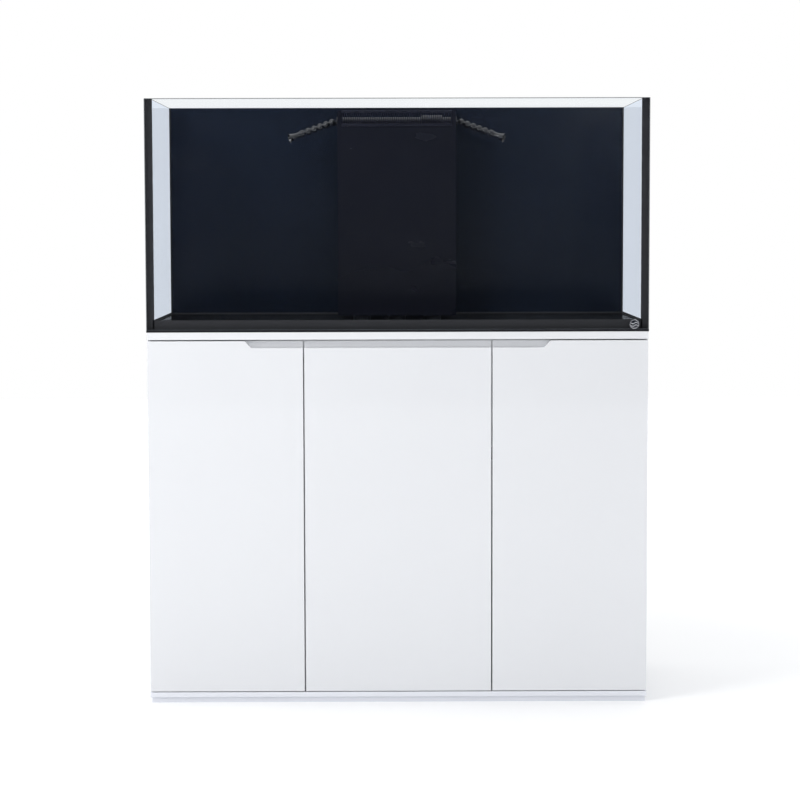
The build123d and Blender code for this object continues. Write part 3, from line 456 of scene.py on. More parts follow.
class Look(Enum):
    """The named finishes of the aquarium and its stand."""

    DOOR = Lacquer("white_gloss_lacquer", (0.80, 0.812, 0.84), 0.24)
    TOP_BOARD = Lacquer("top_board_lacquer", (0.82, 0.83, 0.86), 0.26)
    BASE_BOARD = Lacquer("base_board_lacquer", (0.84, 0.86, 0.92), 0.3, 0.3)
    CARCASS = Laminate("white_melamine", (0.74, 0.75, 0.77), 0.42)
    PLINTH = Laminate("plinth_laminate", (0.80, 0.82, 0.88), 0.4)
    PANE = Glass("low_iron_front_glass", (0.975, 0.99, 1.0), 0.02)
    END_PANE = Glass("low_iron_end_glass", (0.925, 0.945, 0.985), 0.02, bends=True)
    SUMP_PANE = Glass("sump_float_glass", (0.88, 0.955, 0.935), 0.02, 0.045, 0.3)
    PANE_EDGE = GroundEdge("ground_glass_edge", (0.075, 0.090, 0.105), 0.35)
    REAR_PANE = Gloss("black_back_glass", (0.008, 0.013, 0.026), 0.22)
    WEIR = Gloss("black_weir_acrylic", (0.007, 0.008, 0.015), 0.26, 0.0, 0.35)
    COMB = Moulded("comb_plastic", (0.010, 0.011, 0.022), 0.36, shine=0.25)
    NOZZLE = Moulded("nozzle_plastic", (0.010, 0.011, 0.016), 0.2, shine=0.6)
    FITTING = Moulded("fitting_plastic", (0.035, 0.036, 0.040), 0.42)
    PIPE = Extruded("grey_rigid_pipe", (0.070, 0.076, 0.084), 0.4)
    MANIFOLD = Extruded("black_rigid_pipe", (0.010, 0.011, 0.017), 0.45)
    LEVER = Moulded("red_lever_plastic", (0.42, 0.03, 0.02), 0.35)
    WHITE_PLASTIC = Moulded("white_moulded_plastic", (0.72, 0.72, 0.70), 0.42)
    SILICONE = Silicone("black_silicone", (0.014, 0.015, 0.026), 0.35)
    MAT = Foam("black_mat_foam", (0.010, 0.010, 0.014), 0.8)
    FELT = Felt("white_filter_felt", (0.78, 0.77, 0.73), 0.9)
    NICKEL = Metal("nickel_plate", (0.62, 0.61, 0.59), 0.28)
    ZINC = Metal("zinc_screw", (0.66, 0.66, 0.65), 0.3, (0.3, 1.0, 0.3))
    PUMP = Moulded("pump_shell", (0.020, 0.022, 0.028), 0.34, 900.0)
    RUBBER = Moulded("soft_rubber", (0.020, 0.020, 0.021), 0.62, 600.0, 0.00008)
    BUMPER = Moulded("clear_bumper_rubber", (0.62, 0.63, 0.63), 0.3)
    BADGE = Gloss("badge_enamel", (0.010, 0.014, 0.024), 0.2)
    BADGE_LINE = Metal("badge_silver", (0.60, 0.61, 0.64), 0.25, (1.0, 1.0, 1.0))

    @property
    def material(self) -> bpy.types.Material:
        """The finish's material."""
        return self.value.make()


# ---- surfaces -------------------------------------------------------------------------------


def unit(vector: Sequence[float]) -> Array:
    """The vector scaled to length 1."""
    array = np.asarray(vector, dtype=float)
    return array / np.linalg.norm(array)


def soften(points: Array, radius: float, steps: int = 4, closed: bool = False) -> Array:
    """Round the corners of a line of points.

    Each corner p between neighbours is replaced by the curve (1-t)^2 a + 2t(1-t) p + t^2 b, where
    a and b lie on its two sides, at most 0.45 of a side and at most radius away.

    Args:
        points: The corners, one a row.
        radius: How far from a corner the rounding starts.
        steps: Points that stand for each corner.
        closed: Whether the last corner joins the first.

    Returns:
        The rounded line.
    """
    before, after = np.roll(points, 1, axis=0), np.roll(points, -1, axis=0)
    to_before, to_after = before - points, after - points
    length_before = np.maximum(np.linalg.norm(to_before, axis=1, keepdims=True), 1e-9)
    length_after = np.maximum(np.linalg.norm(to_after, axis=1, keepdims=True), 1e-9)
    start = points + to_before * np.minimum(0.45, radius / length_before)
    end = points + to_after * np.minimum(0.45, radius / length_after)
    t = np.linspace(0, 1, steps)[None, :, None]
    curve = (1 - t) ** 2 * start[:, None] + 2 * t * (1 - t) * points[:, None] + t**2 * end[:, None]
    if closed:
        return curve.reshape(-1, points.shape[1])
    inner = curve[1:-1].reshape(-1, points.shape[1])
    return np.concatenate([points[:1], inner, points[-1:]])


def lathe(
    origin: Sequence[float],
    axis: Sequence[float],
    profile: Array,
    segments: int = 48,
    flute: Callable[[Array, Array], Array] | None = None,
) -> Array:
    """Turn a profile round an axis.

    A point is origin + h * axis + r * flute * (cos a * side + sin a * up), for each profile point
    (r, h) and each angle a.

    Args:
        origin: Where h is 0.
        axis: The turning axis.
        profile: Radius and height, one pair a row.
        segments: Steps round the axis.
        flute: Factor on the radius from the angles and the heights; none leaves it round.

    Returns:
        The grid of points, profile by angle by three.
    """
    along = unit(axis)
    hint = np.array([0.0, 0.0, 1.0]) if abs(along[2]) < 0.9 else np.array([1.0, 0.0, 0.0])
    side = unit(np.cross(hint, along))
    up = np.cross(along, side)
    angle = np.linspace(0, TURN, segments, endpoint=False)[None, :]
    radius, height = profile[:, :1], profile[:, 1:]
    radius = radius * (flute(angle, height) if flute else 1.0) + 0 * angle
    turned = radius[..., None] * (np.cos(angle)[..., None] * side + np.sin(angle)[..., None] * up)
    return np.asarray(origin) + height[..., None] * along + turned


def carry(section: Array, path: Array, normal: Sequence[float], scale: Array | None = None) -> Array:
    """Carry a section along a flat path.

    A point is path + s * (x * normal + y * (tangent x normal)), for each section point (x, y) and
    the size s at each path point.

    Args:
        section: The section's outline.
        path: Points in one plane.
        normal: That plane's normal.
        scale: The section's size along the path; none keeps it.

    Returns:
        The grid of points, path by section by three.
    """
    tangent = np.gradient(path, axis=0)
    tangent /= np.linalg.norm(tangent, axis=1, keepdims=True)
    out = unit(normal)
    across = np.cross(tangent, out)
    size = np.ones(len(path)) if scale is None else scale
    x = (size[:, None] * section[None, :, 0])[..., None]
    y = (size[:, None] * section[None, :, 1])[..., None]
    return path[:, None] + x * out + y * across[:, None]


def ring(radius: float, steps: int = 32, power: float = 2.0) -> Array:
    """A closed outline |x|^p + |y|^p = radius^p: a circle at 2, squarer above it."""
    angle = np.linspace(0, TURN, steps, endpoint=False)
    c, s = np.cos(angle), np.sin(angle)
    x, y = np.sign(c) * np.abs(c) ** (2 / power), np.sign(s) * np.abs(s) ** (2 / power)
    return radius * np.stack([x, y], 1)


def slab(low: Sequence[float], high: Sequence[float], radius: float, steps: int = 4) -> Array:
    """A box with rounded edges and corners, as one closed grid.

    A point is centre + sign(n) * (half size - radius) + radius * n, where n runs over the sphere
    by latitude and longitude, and each octant keeps its own signs.

    Args:
        low: The lowest corner.
        high: The highest corner.
        radius: The edges' radius.
        steps: Points across each rounded edge.

    Returns:
        The grid of points, latitude by longitude by three.
    """
    low, high = np.asarray(low, float), np.asarray(high, float)
    quarter = np.linspace(0, TURN / 4, steps)
    turn = (quarter[None] + np.arange(4)[:, None] * TURN / 4).ravel()
    sign_x, sign_y = np.repeat([1, -1, -1, 1], steps), np.repeat([1, 1, -1, -1], steps)
    latitude = np.concatenate([quarter - TURN / 4, quarter])
    sign_z = np.repeat([-1, 1], steps)
    flat = np.cos(latitude)[:, None]
    normal = np.stack([flat * np.cos(turn), flat * np.sin(turn), np.sin(latitude)[:, None] + 0 * turn], -1)
    sign = np.stack([sign_x + 0 * flat, sign_y + 0 * flat, sign_z[:, None] + 0 * turn], -1)
    return (low + high) / 2 + sign * ((high - low) / 2 - radius) + radius * normal


def crease(mesh: bpy.types.Mesh, sharp: float) -> None:
    """Mark the edges whose faces turn more than a limit, or where a wide face meets a narrow strip.

    The second keeps a flat face's shading flat beside its rounded edge, so that glass stays clear.

    Args:
        mesh: A closed mesh.
        sharp: The limit, in degrees.
    """
    faces = len(mesh.polygons)
    normal, area = np.empty(faces * 3), np.empty(faces)
    corners, edge = np.empty(faces, np.int32), np.empty(len(mesh.loops), np.int32)
    mesh.polygons.foreach_get("normal", normal)
    mesh.polygons.foreach_get("area", area)
    mesh.polygons.foreach_get("loop_total", corners)
    mesh.loops.foreach_get("edge_index", edge)
    order = np.argsort(edge, kind="stable")
    edge, face = edge[order], np.repeat(np.arange(faces), corners)[order]
    twin = np.flatnonzero(edge[:-1] == edge[1:])
    first, second = face[twin], face[twin + 1]
    normal = normal.reshape(-1, 3)
    turn = (normal[first] * normal[second]).sum(axis=1)
    ratio = np.maximum(area[first], area[second]) / np.maximum(np.minimum(area[first], area[second]), 1e-12)
    hard = (turn < math.cos(math.radians(sharp))) | ((turn < math.cos(math.radians(4))) & (ratio > 12))
    flags = np.zeros(len(mesh.edges), bool)
    flags[edge[twin]] = hard
    mesh.attributes.new("sharp_edge", "BOOLEAN", "EDGE").data.foreach_set("value", flags)


class Shape:
    """Surfaces gathered into one mesh."""

    def __init__(self) -> None:
        """Start with no surface."""
        self.points: list[Array] = []
        self.quads: list[Array] = []
        self.marks: list[Array] = []
        self.count = 0

    def add(self, surface: Array, wrap_rows: bool = False, mark: int = 0) -> "Shape":
        """Add a grid of points as a surface whose last column joins the first.

        Args:
            surface: Points, rows by columns by three.
            wrap_rows: Whether the last row joins the first.
            mark: The material slot of its faces.

        Returns:
            The shape itself, so that calls chain.
        """
        rows, columns = surface.shape[:2]
        index = np.arange(rows * columns).reshape(rows, columns) + self.count
        right = np.roll(index, -1, axis=1)
        below = np.roll(index, -1, axis=0)
        corner = np.roll(right, -1, axis=0)
        last_row = rows if wrap_rows else rows - 1
        quads = np.stack([index, right, corner, below], -1)[:last_row].reshape(-1, 4)
        self.points.append(surface.reshape(-1, 3))
        self.quads.append(quads)
        self.marks.append(np.full(len(quads), mark))
        self.count += rows * columns
        return self

    def build(self, name: str, *looks: Look, sharp: float = 40.0) -> bpy.types.Object:
        """Make the object: doubles merged, open ends closed, faces outwards, edges smooth.

        Args:
            name: The piece's name.
            looks: Its finishes, in the order of the surfaces' marks.
            sharp: Edges that turn more than this many degrees stay sharp.

        Returns:
            The new object, at the origin.
        """
        mesh = bpy.data.meshes.new(name)
        mesh.from_pydata(np.concatenate(self.points), [], np.concatenate(self.quads))
        mesh.polygons.foreach_set("material_index", np.concatenate(self.marks).astype(np.int32))
        tidy = bmesh.new()
        tidy.from_mesh(mesh)
        bmesh.ops.remove_doubles(tidy, verts=tidy.verts, dist=1e-6)
        bmesh.ops.holes_fill(tidy, edges=[edge for edge in tidy.edges if edge.is_boundary], sides=0)
        bmesh.ops.recalc_face_normals(tidy, faces=tidy.faces)
        tidy.to_mesh(mesh)
        tidy.free()
        mesh.shade_smooth()
        crease(mesh, sharp)
        for look in looks:
            mesh.materials.append(look.material)
        piece = bpy.data.objects.new(name, mesh)
        bpy.context.scene.collection.objects.link(piece)
        return piece


def settle(piece: bpy.types.Object, body: str, slot: str, *nodes: str) -> bpy.types.Object:
    """Ride a piece on a body, stand it in for nodes and report it."""
    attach(piece, body)
    if nodes:
        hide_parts(*nodes)
    log.info("%s: %d faces on %s", piece.name, len(piece.data.polygons), body)
    return piece


def dress(look: Look, *nodes: str) -> None:
    """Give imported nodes, whose shapes stay, a finish."""
    for name in nodes:
        mesh = frame["nodes"][name].data
        mesh.materials.clear()
        mesh.materials.append(look.material)
        log.info("%s: kept, in %s", name, look.name.lower())


def span(node: str) -> tuple[Array, Array]:
    """A node's lowest and highest corners as arrays."""
    low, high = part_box(node)
    return np.array(low), np.array(high)


def joint_place(name: str) -> Array:
    """The pivot point of a joint, in metres."""
    return next(np.array(joint["pos_m"]) for joint in frame["joints"] if joint["name"] == name)


# ---- cabinet --------------------------------------------------------------------------------


@dataclass
class Cabinet:
    """Boards, plinth, back panel and its screws.

    Attributes:
        screw_radius: Radius of a screw head.
        recess: Depth of its cross recess.
    """

    screw_radius: float = 3.6 * MM
    recess: float = 0.9 * MM

    def build(self) -> None:
        """Dress the boards and turn the screw heads."""
        dress(Look.TOP_BOARD, "top_board")
        dress(Look.BASE_BOARD, "base_board")
        dress(Look.DOOR, "left_side_panel", "right_side_panel")
        dress(Look.CARCASS, "partition_panel", "front_rails", "back_panel")
        dress(Look.PLINTH, "plinth_frame")
        dress(Look.MAT, "foam_mat")
        self.screws()

    def screws(self) -> None:
        """Domed heads whose height is a dome less a cross: depth falls off from each bar's middle."""
        low, high = span("back_panel_screws")
        radius = self.screw_radius
        r = np.linspace(0, 1, 9)[:, None]
        angle = np.linspace(0, TURN, 32, endpoint=False)[None]
        x, z = radius * r * np.cos(angle), radius * r * np.sin(angle)
        bar = np.maximum(np.exp(-((x / radius / 0.16) ** 4)), np.exp(-((z / radius / 0.16) ** 4)))
        inside = np.clip((0.62 - r) / 0.12, 0, 1)
        dome = (high[1] - low[1]) * np.sqrt(np.maximum(0.0, 1 - 0.96 * r**2))
        height = dome - self.recess * bar * inside
        shape = Shape()
        columns = (low[0] + radius, high[0] - radius)
        for side in columns:
            for row in np.linspace(low[2] + radius, high[2] - radius, 4):
                head = np.stack([side + x, low[1] + height, row + z], -1)
                rim = head[-1:].copy()
                rim[..., 1] = low[1]
                shape.add(np.concatenate([head, rim]))
        settle(shape.build("back_screws", Look.ZINC), "cabinet", "screw_steel", "back_panel_screws")


@dataclass
class Door:
    """One door: its panel, bumpers and hinge metal.

    Attributes:
        name: The door's node and body name.
    """

    name: str

    def build(self) -> None:
        """Dress the panel and hinges, and turn the soft bumpers."""
        dress(Look.DOOR, self.name)
        dress(Look.NICKEL, f"{self.name}_hinge_cups", f"{self.name}_hinge_cranks")
        low, high = span(f"{self.name}_bumpers")
        radius = (high[0] - low[0]) / 2
        thick = high[1] - low[1]
        edge = np.array([[0, 0], [radius, 0], [radius, thick * 0.4], [radius * 0.7, thick], [0, thick]])
        profile = soften(edge, thick * 0.6, 5)
        shape = Shape()
        for height in (low[2] + radius, high[2] - radius):
            shape.add(lathe((low[0] + radius, low[1], height), (0, 1, 0), profile, 24))
        piece = shape.build(f"{self.name}_soft_bumpers", Look.BUMPER)
        settle(piece, self.name, "clear_bumper", f"{self.name}_bumpers")


# ---- tank -----------------------------------------------------------------------------------


@dataclass
class Tank:
    """Panes with ground edges, tooled silicone beads and the badge.

    Attributes:
        arris: Radius of a pane's ground edge.
        bead: Width of the beads in the corners.
        floor_bead: Width of the beads on the floor.
        press: How far a bead keys into a pane's face.
    """

    arris: float = 1.2 * MM
    bead: float = 3.5 * MM
    floor_bead: float = 4.5 * MM
    press: float = 0.2 * MM

    def build(self) -> None:
        """Make the panes, the beads and the badge."""
        self.pane("tank_front_pane", 1, "clear_glass", Look.PANE)
        self.pane("tank_left_pane", 0, "clear_glass", Look.END_PANE)
        self.pane("tank_right_pane", 0, "clear_glass", Look.END_PANE)
        self.pane("tank_rear_pane", 1, "black_glass", Look.REAR_PANE)
        dress(Look.PANE, "tank_base_pane")
        self.corner_beads()
        self.floor_beads()
        self.badge()

    def pane(self, node: str, thin_axis: int, slot: str, look: Look) -> None:
        """A pane whose narrow faces are ground: faces that look along its thickness are polished."""
        low, high = span(node)
        piece = Shape().add(slab(low, high, self.arris)).build(f"{node}_ground", look, Look.PANE_EDGE)
        normals = np.empty(len(piece.data.polygons) * 3)
        piece.data.polygons.foreach_get("normal", normals)
        ground = np.abs(normals.reshape(-1, 3)[:, thin_axis]) < 0.99
        piece.data.polygons.foreach_set("material_index", ground.astype(np.int32))
        settle(piece, "cabinet", slot, node)

    def corner_beads(self) -> None:
        """The film between two panes and the hollow bead inside it, carried up each corner."""
        low, high = span("corner_silicone")
        inner = span("tank_base_pane")[1][0] + 1 * MM + self.press
        film = 1 * MM
        t = np.linspace(0, TURN / 4, 7)
        reach = self.bead
        face = high[1] + self.press
        back = high[1] - film - self.press
        hollow_y = face - (reach + self.press) * (1 - np.cos(t)) - film * np.sin(t)
        hollow = np.stack([inner - reach * (1 - np.sin(t)), hollow_y], 1)
        corner = [[inner, back], [high[0], back], [high[0], face]]
        section = np.concatenate([hollow, corner])
        height = np.linspace(low[2], high[2], 90)
        wave = 1 - 0.00012 * np.sin(height * 61.0) * np.sin(height * 173.0 + 1.0) / inner
        shape = Shape()
        for sign_x in (-1, 1):
            for sign_y in (-1, 1):
                bead = np.empty((len(height), len(section), 3))
                bead[..., 0] = sign_x * section[None, :, 0]
                bead[:, :7, 0] *= wave[:, None]
                bead[..., 1] = sign_y * section[None, :, 1]
                bead[..., 2] = height[:, None]
                shape.add(bead)
        settle(shape.build("corner_beads", Look.SILICONE), "cabinet", "black_silicone", "corner_silicone")

    def floor_beads(self) -> None:
        """Rectangular loops, one for each point of the bead's section, set in by its depth."""
        low, high = span("floor_silicone")
        t = np.linspace(0, TURN / 4, 7)
        reach = self.floor_bead
        top = high[2]
        film = 1 * MM
        inset = np.concatenate([reach * (1 - np.cos(t)), [reach, film, film, 0, 0]])
        height = np.concatenate([top - reach * np.sin(t), [top - reach, top - reach, low[2], low[2], top]])
        along = np.linspace(-1, 1, 60, endpoint=False)
        x = np.concatenate([along, np.ones(60), -along, -np.ones(60)])
        y = np.concatenate([-np.ones(60), along, np.ones(60), -along])
        loop = np.empty((len(inset), len(x), 3))
        loop[..., 0] = x[None] * (high[0] + self.press - inset[:, None])
        loop[..., 1] = y[None] * (high[1] + self.press - inset[:, None])
        loop[..., 2] = height[:, None]
        shape = Shape().add(loop, wrap_rows=True)
        settle(shape.build("floor_beads", Look.SILICONE), "cabinet", "black_silicone", "floor_silicone")

    def badge(self) -> None:
        """A round plaque with two raised wave lines, z = a sin(kx), inside a raised rim."""
        low, high = span("tank_badge")
        centre, half = (low + high) / 2, (high[0] - low[0]) / 2
        depth = high[1] - low[1]
        outline = ring(half, 48)
        level = np.array([[1.0, 0.0], [1.0, 0.55], [0.96, 0.7], [0.0, 0.7]])
        plate = np.empty((4, 48, 3))
        plate[..., 0] = centre[0] + level[:, :1] * outline[None, :, 0]
        plate[..., 1] = high[1] - depth * level[:, 1:]
        plate[..., 2] = centre[2] + level[:, :1] * outline[None, :, 1]
        shape = Shape().add(plate)
        x = np.linspace(-0.7, 0.7, 40) * half
        for offset in (-0.28, 0.22):
            wave = 0.16 * half * np.sin(x / half * 5.2)
            level_z = centre[2] + offset * half + wave
            line = np.stack([centre[0] + x, 0 * x + high[1] - depth * 0.7, level_z], 1)
            fade = np.sqrt(np.clip(1 - (x / half / 0.7) ** 6, 0.02, 1))
            shape.add(carry(ring(1, 8) * [depth * 0.28, half * 0.075], line, (0, 1, 0), fade), mark=1)
        rim = np.stack([centre[0] + 0.86 * outline[:, 0], 0 * outline[:, 0] + high[1] - depth * 0.7,
                        centre[2] + 0.86 * outline[:, 1]], 1)
        thread = ring(1, 8) * [depth * 0.28, half * 0.05]
        closed = np.concatenate([rim[-1:], rim, rim[:1]])
        shape.add(carry(thread, closed, (0, 1, 0))[1:-1], wrap_rows=True, mark=1)
        piece = shape.build("wave_badge", Look.BADGE, Look.BADGE_LINE)
        settle(piece, "cabinet", "badge_plate", "tank_badge")


# ---- weir box and nozzles -------------------------------------------------------------------


@dataclass
class Weir:
    """The overflow box: its walls stay, the comb gets rounded tapering teeth.

    Attributes:
        pitch: Distance between teeth.
        tooth: Width of a tooth at its root.
        foot: Height of the bar under the teeth.
        head: Height of the bar over them.
    """

    pitch: float = 5.5 * MM
    tooth: float = 3.0 * MM
    foot: float = 5.6 * MM
    head: float = 5.0 * MM

    def build(self) -> None:
        """Dress the walls and carve the comb."""
        dress(Look.WEIR, "weir_front_panel", "weir_side_panels")
        low, high = span("weir_comb")
        front = span("weir_front_panel")[1][1]
        shoulder = 4.1 * MM
        bar_low, bar_high = low[2] + self.foot, high[2] - self.head
        shape = Shape()
        for bottom, top in ((low[2], bar_low), (bar_high, high[2])):
            face_low, face_high = (low[0] + shoulder, low[1], bottom), (high[0] - shoulder, front, top)
            shape.add(slab(face_low, face_high, 0.6 * MM, 3))
            shape.add(slab((low[0], front, bottom), (high[0], high[1], top), 0.5 * MM, 3))
        count = int((high[0] - low[0] - 2 * shoulder) / self.pitch)
        places = (np.arange(count + 1) - count / 2) * self.pitch
        section = soften(
            np.array([[-1.0, -1.0], [1.0, -1.0], [0.7, 1.0], [-0.7, 1.0]]), 0.5, 3, closed=True
        )
        z = np.linspace(bar_low - 0.5 * MM, bar_high + 0.5 * MM, 5)
        swell = 0.5 * self.tooth * (1 + 0.12 * np.cos(np.linspace(0, TURN, 5)))
        middle, half = (low[1] + high[1]) / 2, (high[1] - low[1]) / 2
        for x in places:
            tooth = np.empty((5, len(section), 3))
            tooth[..., 0] = x + swell[:, None] * section[None, :, 0]
            tooth[..., 1] = middle + half * section[None, :, 1]
            tooth[..., 2] = z[:, None]
            shape.add(tooth)
        settle(shape.build("slotted_comb", Look.COMB), "weir_comb", "black_plastic", "weir_comb")


@dataclass
class Nozzle:
    """One return nozzle: wall collar, a chain of ball sockets and a flared mouth.

    Attributes:
        side: left or right.
        segments: Links in the chain.
        ball: Radius of a ball.
        socket: Outer radius of a socket; not used.
        neck: Outer radius of a neck.
        bore: Radius of the waterway.
    """

    side: str
    segments: int = 5
    ball: float = 7.5 * MM
    socket: float = 9.6 * MM
    neck: float = 5.0 * MM
    bore: float = 3.8 * MM

    def socket_profile(self) -> Array:
        """Skirt over the ball, a raised band, and a taper to the neck."""
        return np.array(
            [[7.5, -2], [8.9, -2], [9.6, -1.0], [9.6, 0.6], [9.1, 0.9], [9.1, 1.6], [9.6, 1.9], [9.6, 3.2]]
        ) * MM

    def cavity(self) -> Array:
        """The hollow that grips the ball, from the waterway out to the lip, on a circle."""
        hollow = self.ball + 0.3 * MM
        start, end = math.asin(self.bore / hollow), math.pi - math.acos(2 * MM / hollow)
        t = np.linspace(start, end, 9)
        return np.stack([hollow * np.sin(t), hollow * np.cos(t)], 1)

    def build(self) -> None:
        """Turn the chain and its mouth."""
        start = joint_place(f"{self.side}_nozzle_swivel")
        end = joint_place(f"{self.side}_nozzle_tilt")
        along = unit(end - start)
        pitch = np.linalg.norm(end - start) / self.segments
        t = np.linspace(math.pi - math.asin(self.neck / self.ball), math.asin(self.bore / self.ball), 12)
        ball = np.stack([self.ball * np.sin(t), pitch + self.ball * np.cos(t)], 1)
        taper = np.array([[9.2, 4.6], [6.6, 7.0], [5.2, 8.4], [5.0, 9.6]]) * MM
        link = np.concatenate([self.socket_profile(), taper, ball, self.cavity()])
        chain = Shape()
        for index in range(self.segments):
            chain.add(lathe(start + along * pitch * index, along, link, 40), wrap_rows=True)
        piece = chain.build(f"{self.side}_ball_chain", Look.NOZZLE, sharp=50)
        settle(piece, f"{self.side}_nozzle_chain", "black_plastic", f"{self.side}_nozzle_segments")

        flare = np.array(
            [[9.2, 4.6], [7.4, 8.0], [6.9, 11], [6.9, 20], [8.2, 26], [10.4, 33], [12.6, 37.2], [13.0, 38],
             [12.2, 38], [9.6, 33], [7.2, 26], [5.4, 20], [3.8, 18], [3.8, 8]]
        ) * MM
        mouth = np.concatenate([self.socket_profile(), soften(flare, 0.8 * MM, 3), self.cavity()])
        tip = Shape().add(lathe(end, along, mouth, 48), wrap_rows=True)
        piece = tip.build(f"{self.side}_flared_mouth", Look.NOZZLE, sharp=50)
        settle(piece, f"{self.side}_nozzle_tip", "black_plastic", f"{self.side}_nozzle_mouth")


@dataclass
class Collars:
    """The two wall collars, each with the ball that its chain grips.

    Attributes:
        ball: Radius of the ball.
        bore: Radius of the waterway.
        neck: Radius where the ball meets the collar.
        tail: How far the collar reaches behind the ball's centre.
        flutes: Grip flutes round the rim.
    """

    ball: float = 7.5 * MM
    bore: float = 3.8 * MM
    neck: float = 4.8 * MM
    tail: float = 19 * MM
    flutes: int = 12

    def flute(self, angle: Array, height: Array) -> Array:
        """Shallow grip flutes on the collar's rim only."""
        rim = (height > -12.8 * MM) & (height < -10.0 * MM)
        return 1 - 0.05 * rim * (0.5 + 0.5 * np.cos(self.flutes * angle)) ** 3

    def build(self) -> None:
        """Turn both collars, which face away from each other."""
        t = np.linspace(math.pi - math.asin(self.neck / self.ball), math.asin(self.bore / self.ball), 12)
        sphere = np.stack([self.ball * np.sin(t), self.ball * np.cos(t)], 1)
        body = np.array(
            [[10, -19], [10, -13], [13.4, -13], [14, -12.6], [14, -10.8], [13.2, -10.2], [9.0, -10],
             [7.2, -9.2], [4.8, -8.0]]
        ) * MM
        profile = np.concatenate([body, sphere, [[self.bore, -self.tail]]])
        shape = Shape()
        for sign, side in ((-1, "left"), (1, "right")):
            origin = joint_place(f"{side}_nozzle_swivel")
            shape.add(lathe(origin, (sign, 0, 0), profile, 96, self.flute), wrap_rows=True)
        piece = shape.build("wall_collars", Look.NOZZLE, sharp=50)
        settle(piece, "cabinet", "black_plastic", "nozzle_flanges")


# ---- plumbing -------------------------------------------------------------------------------


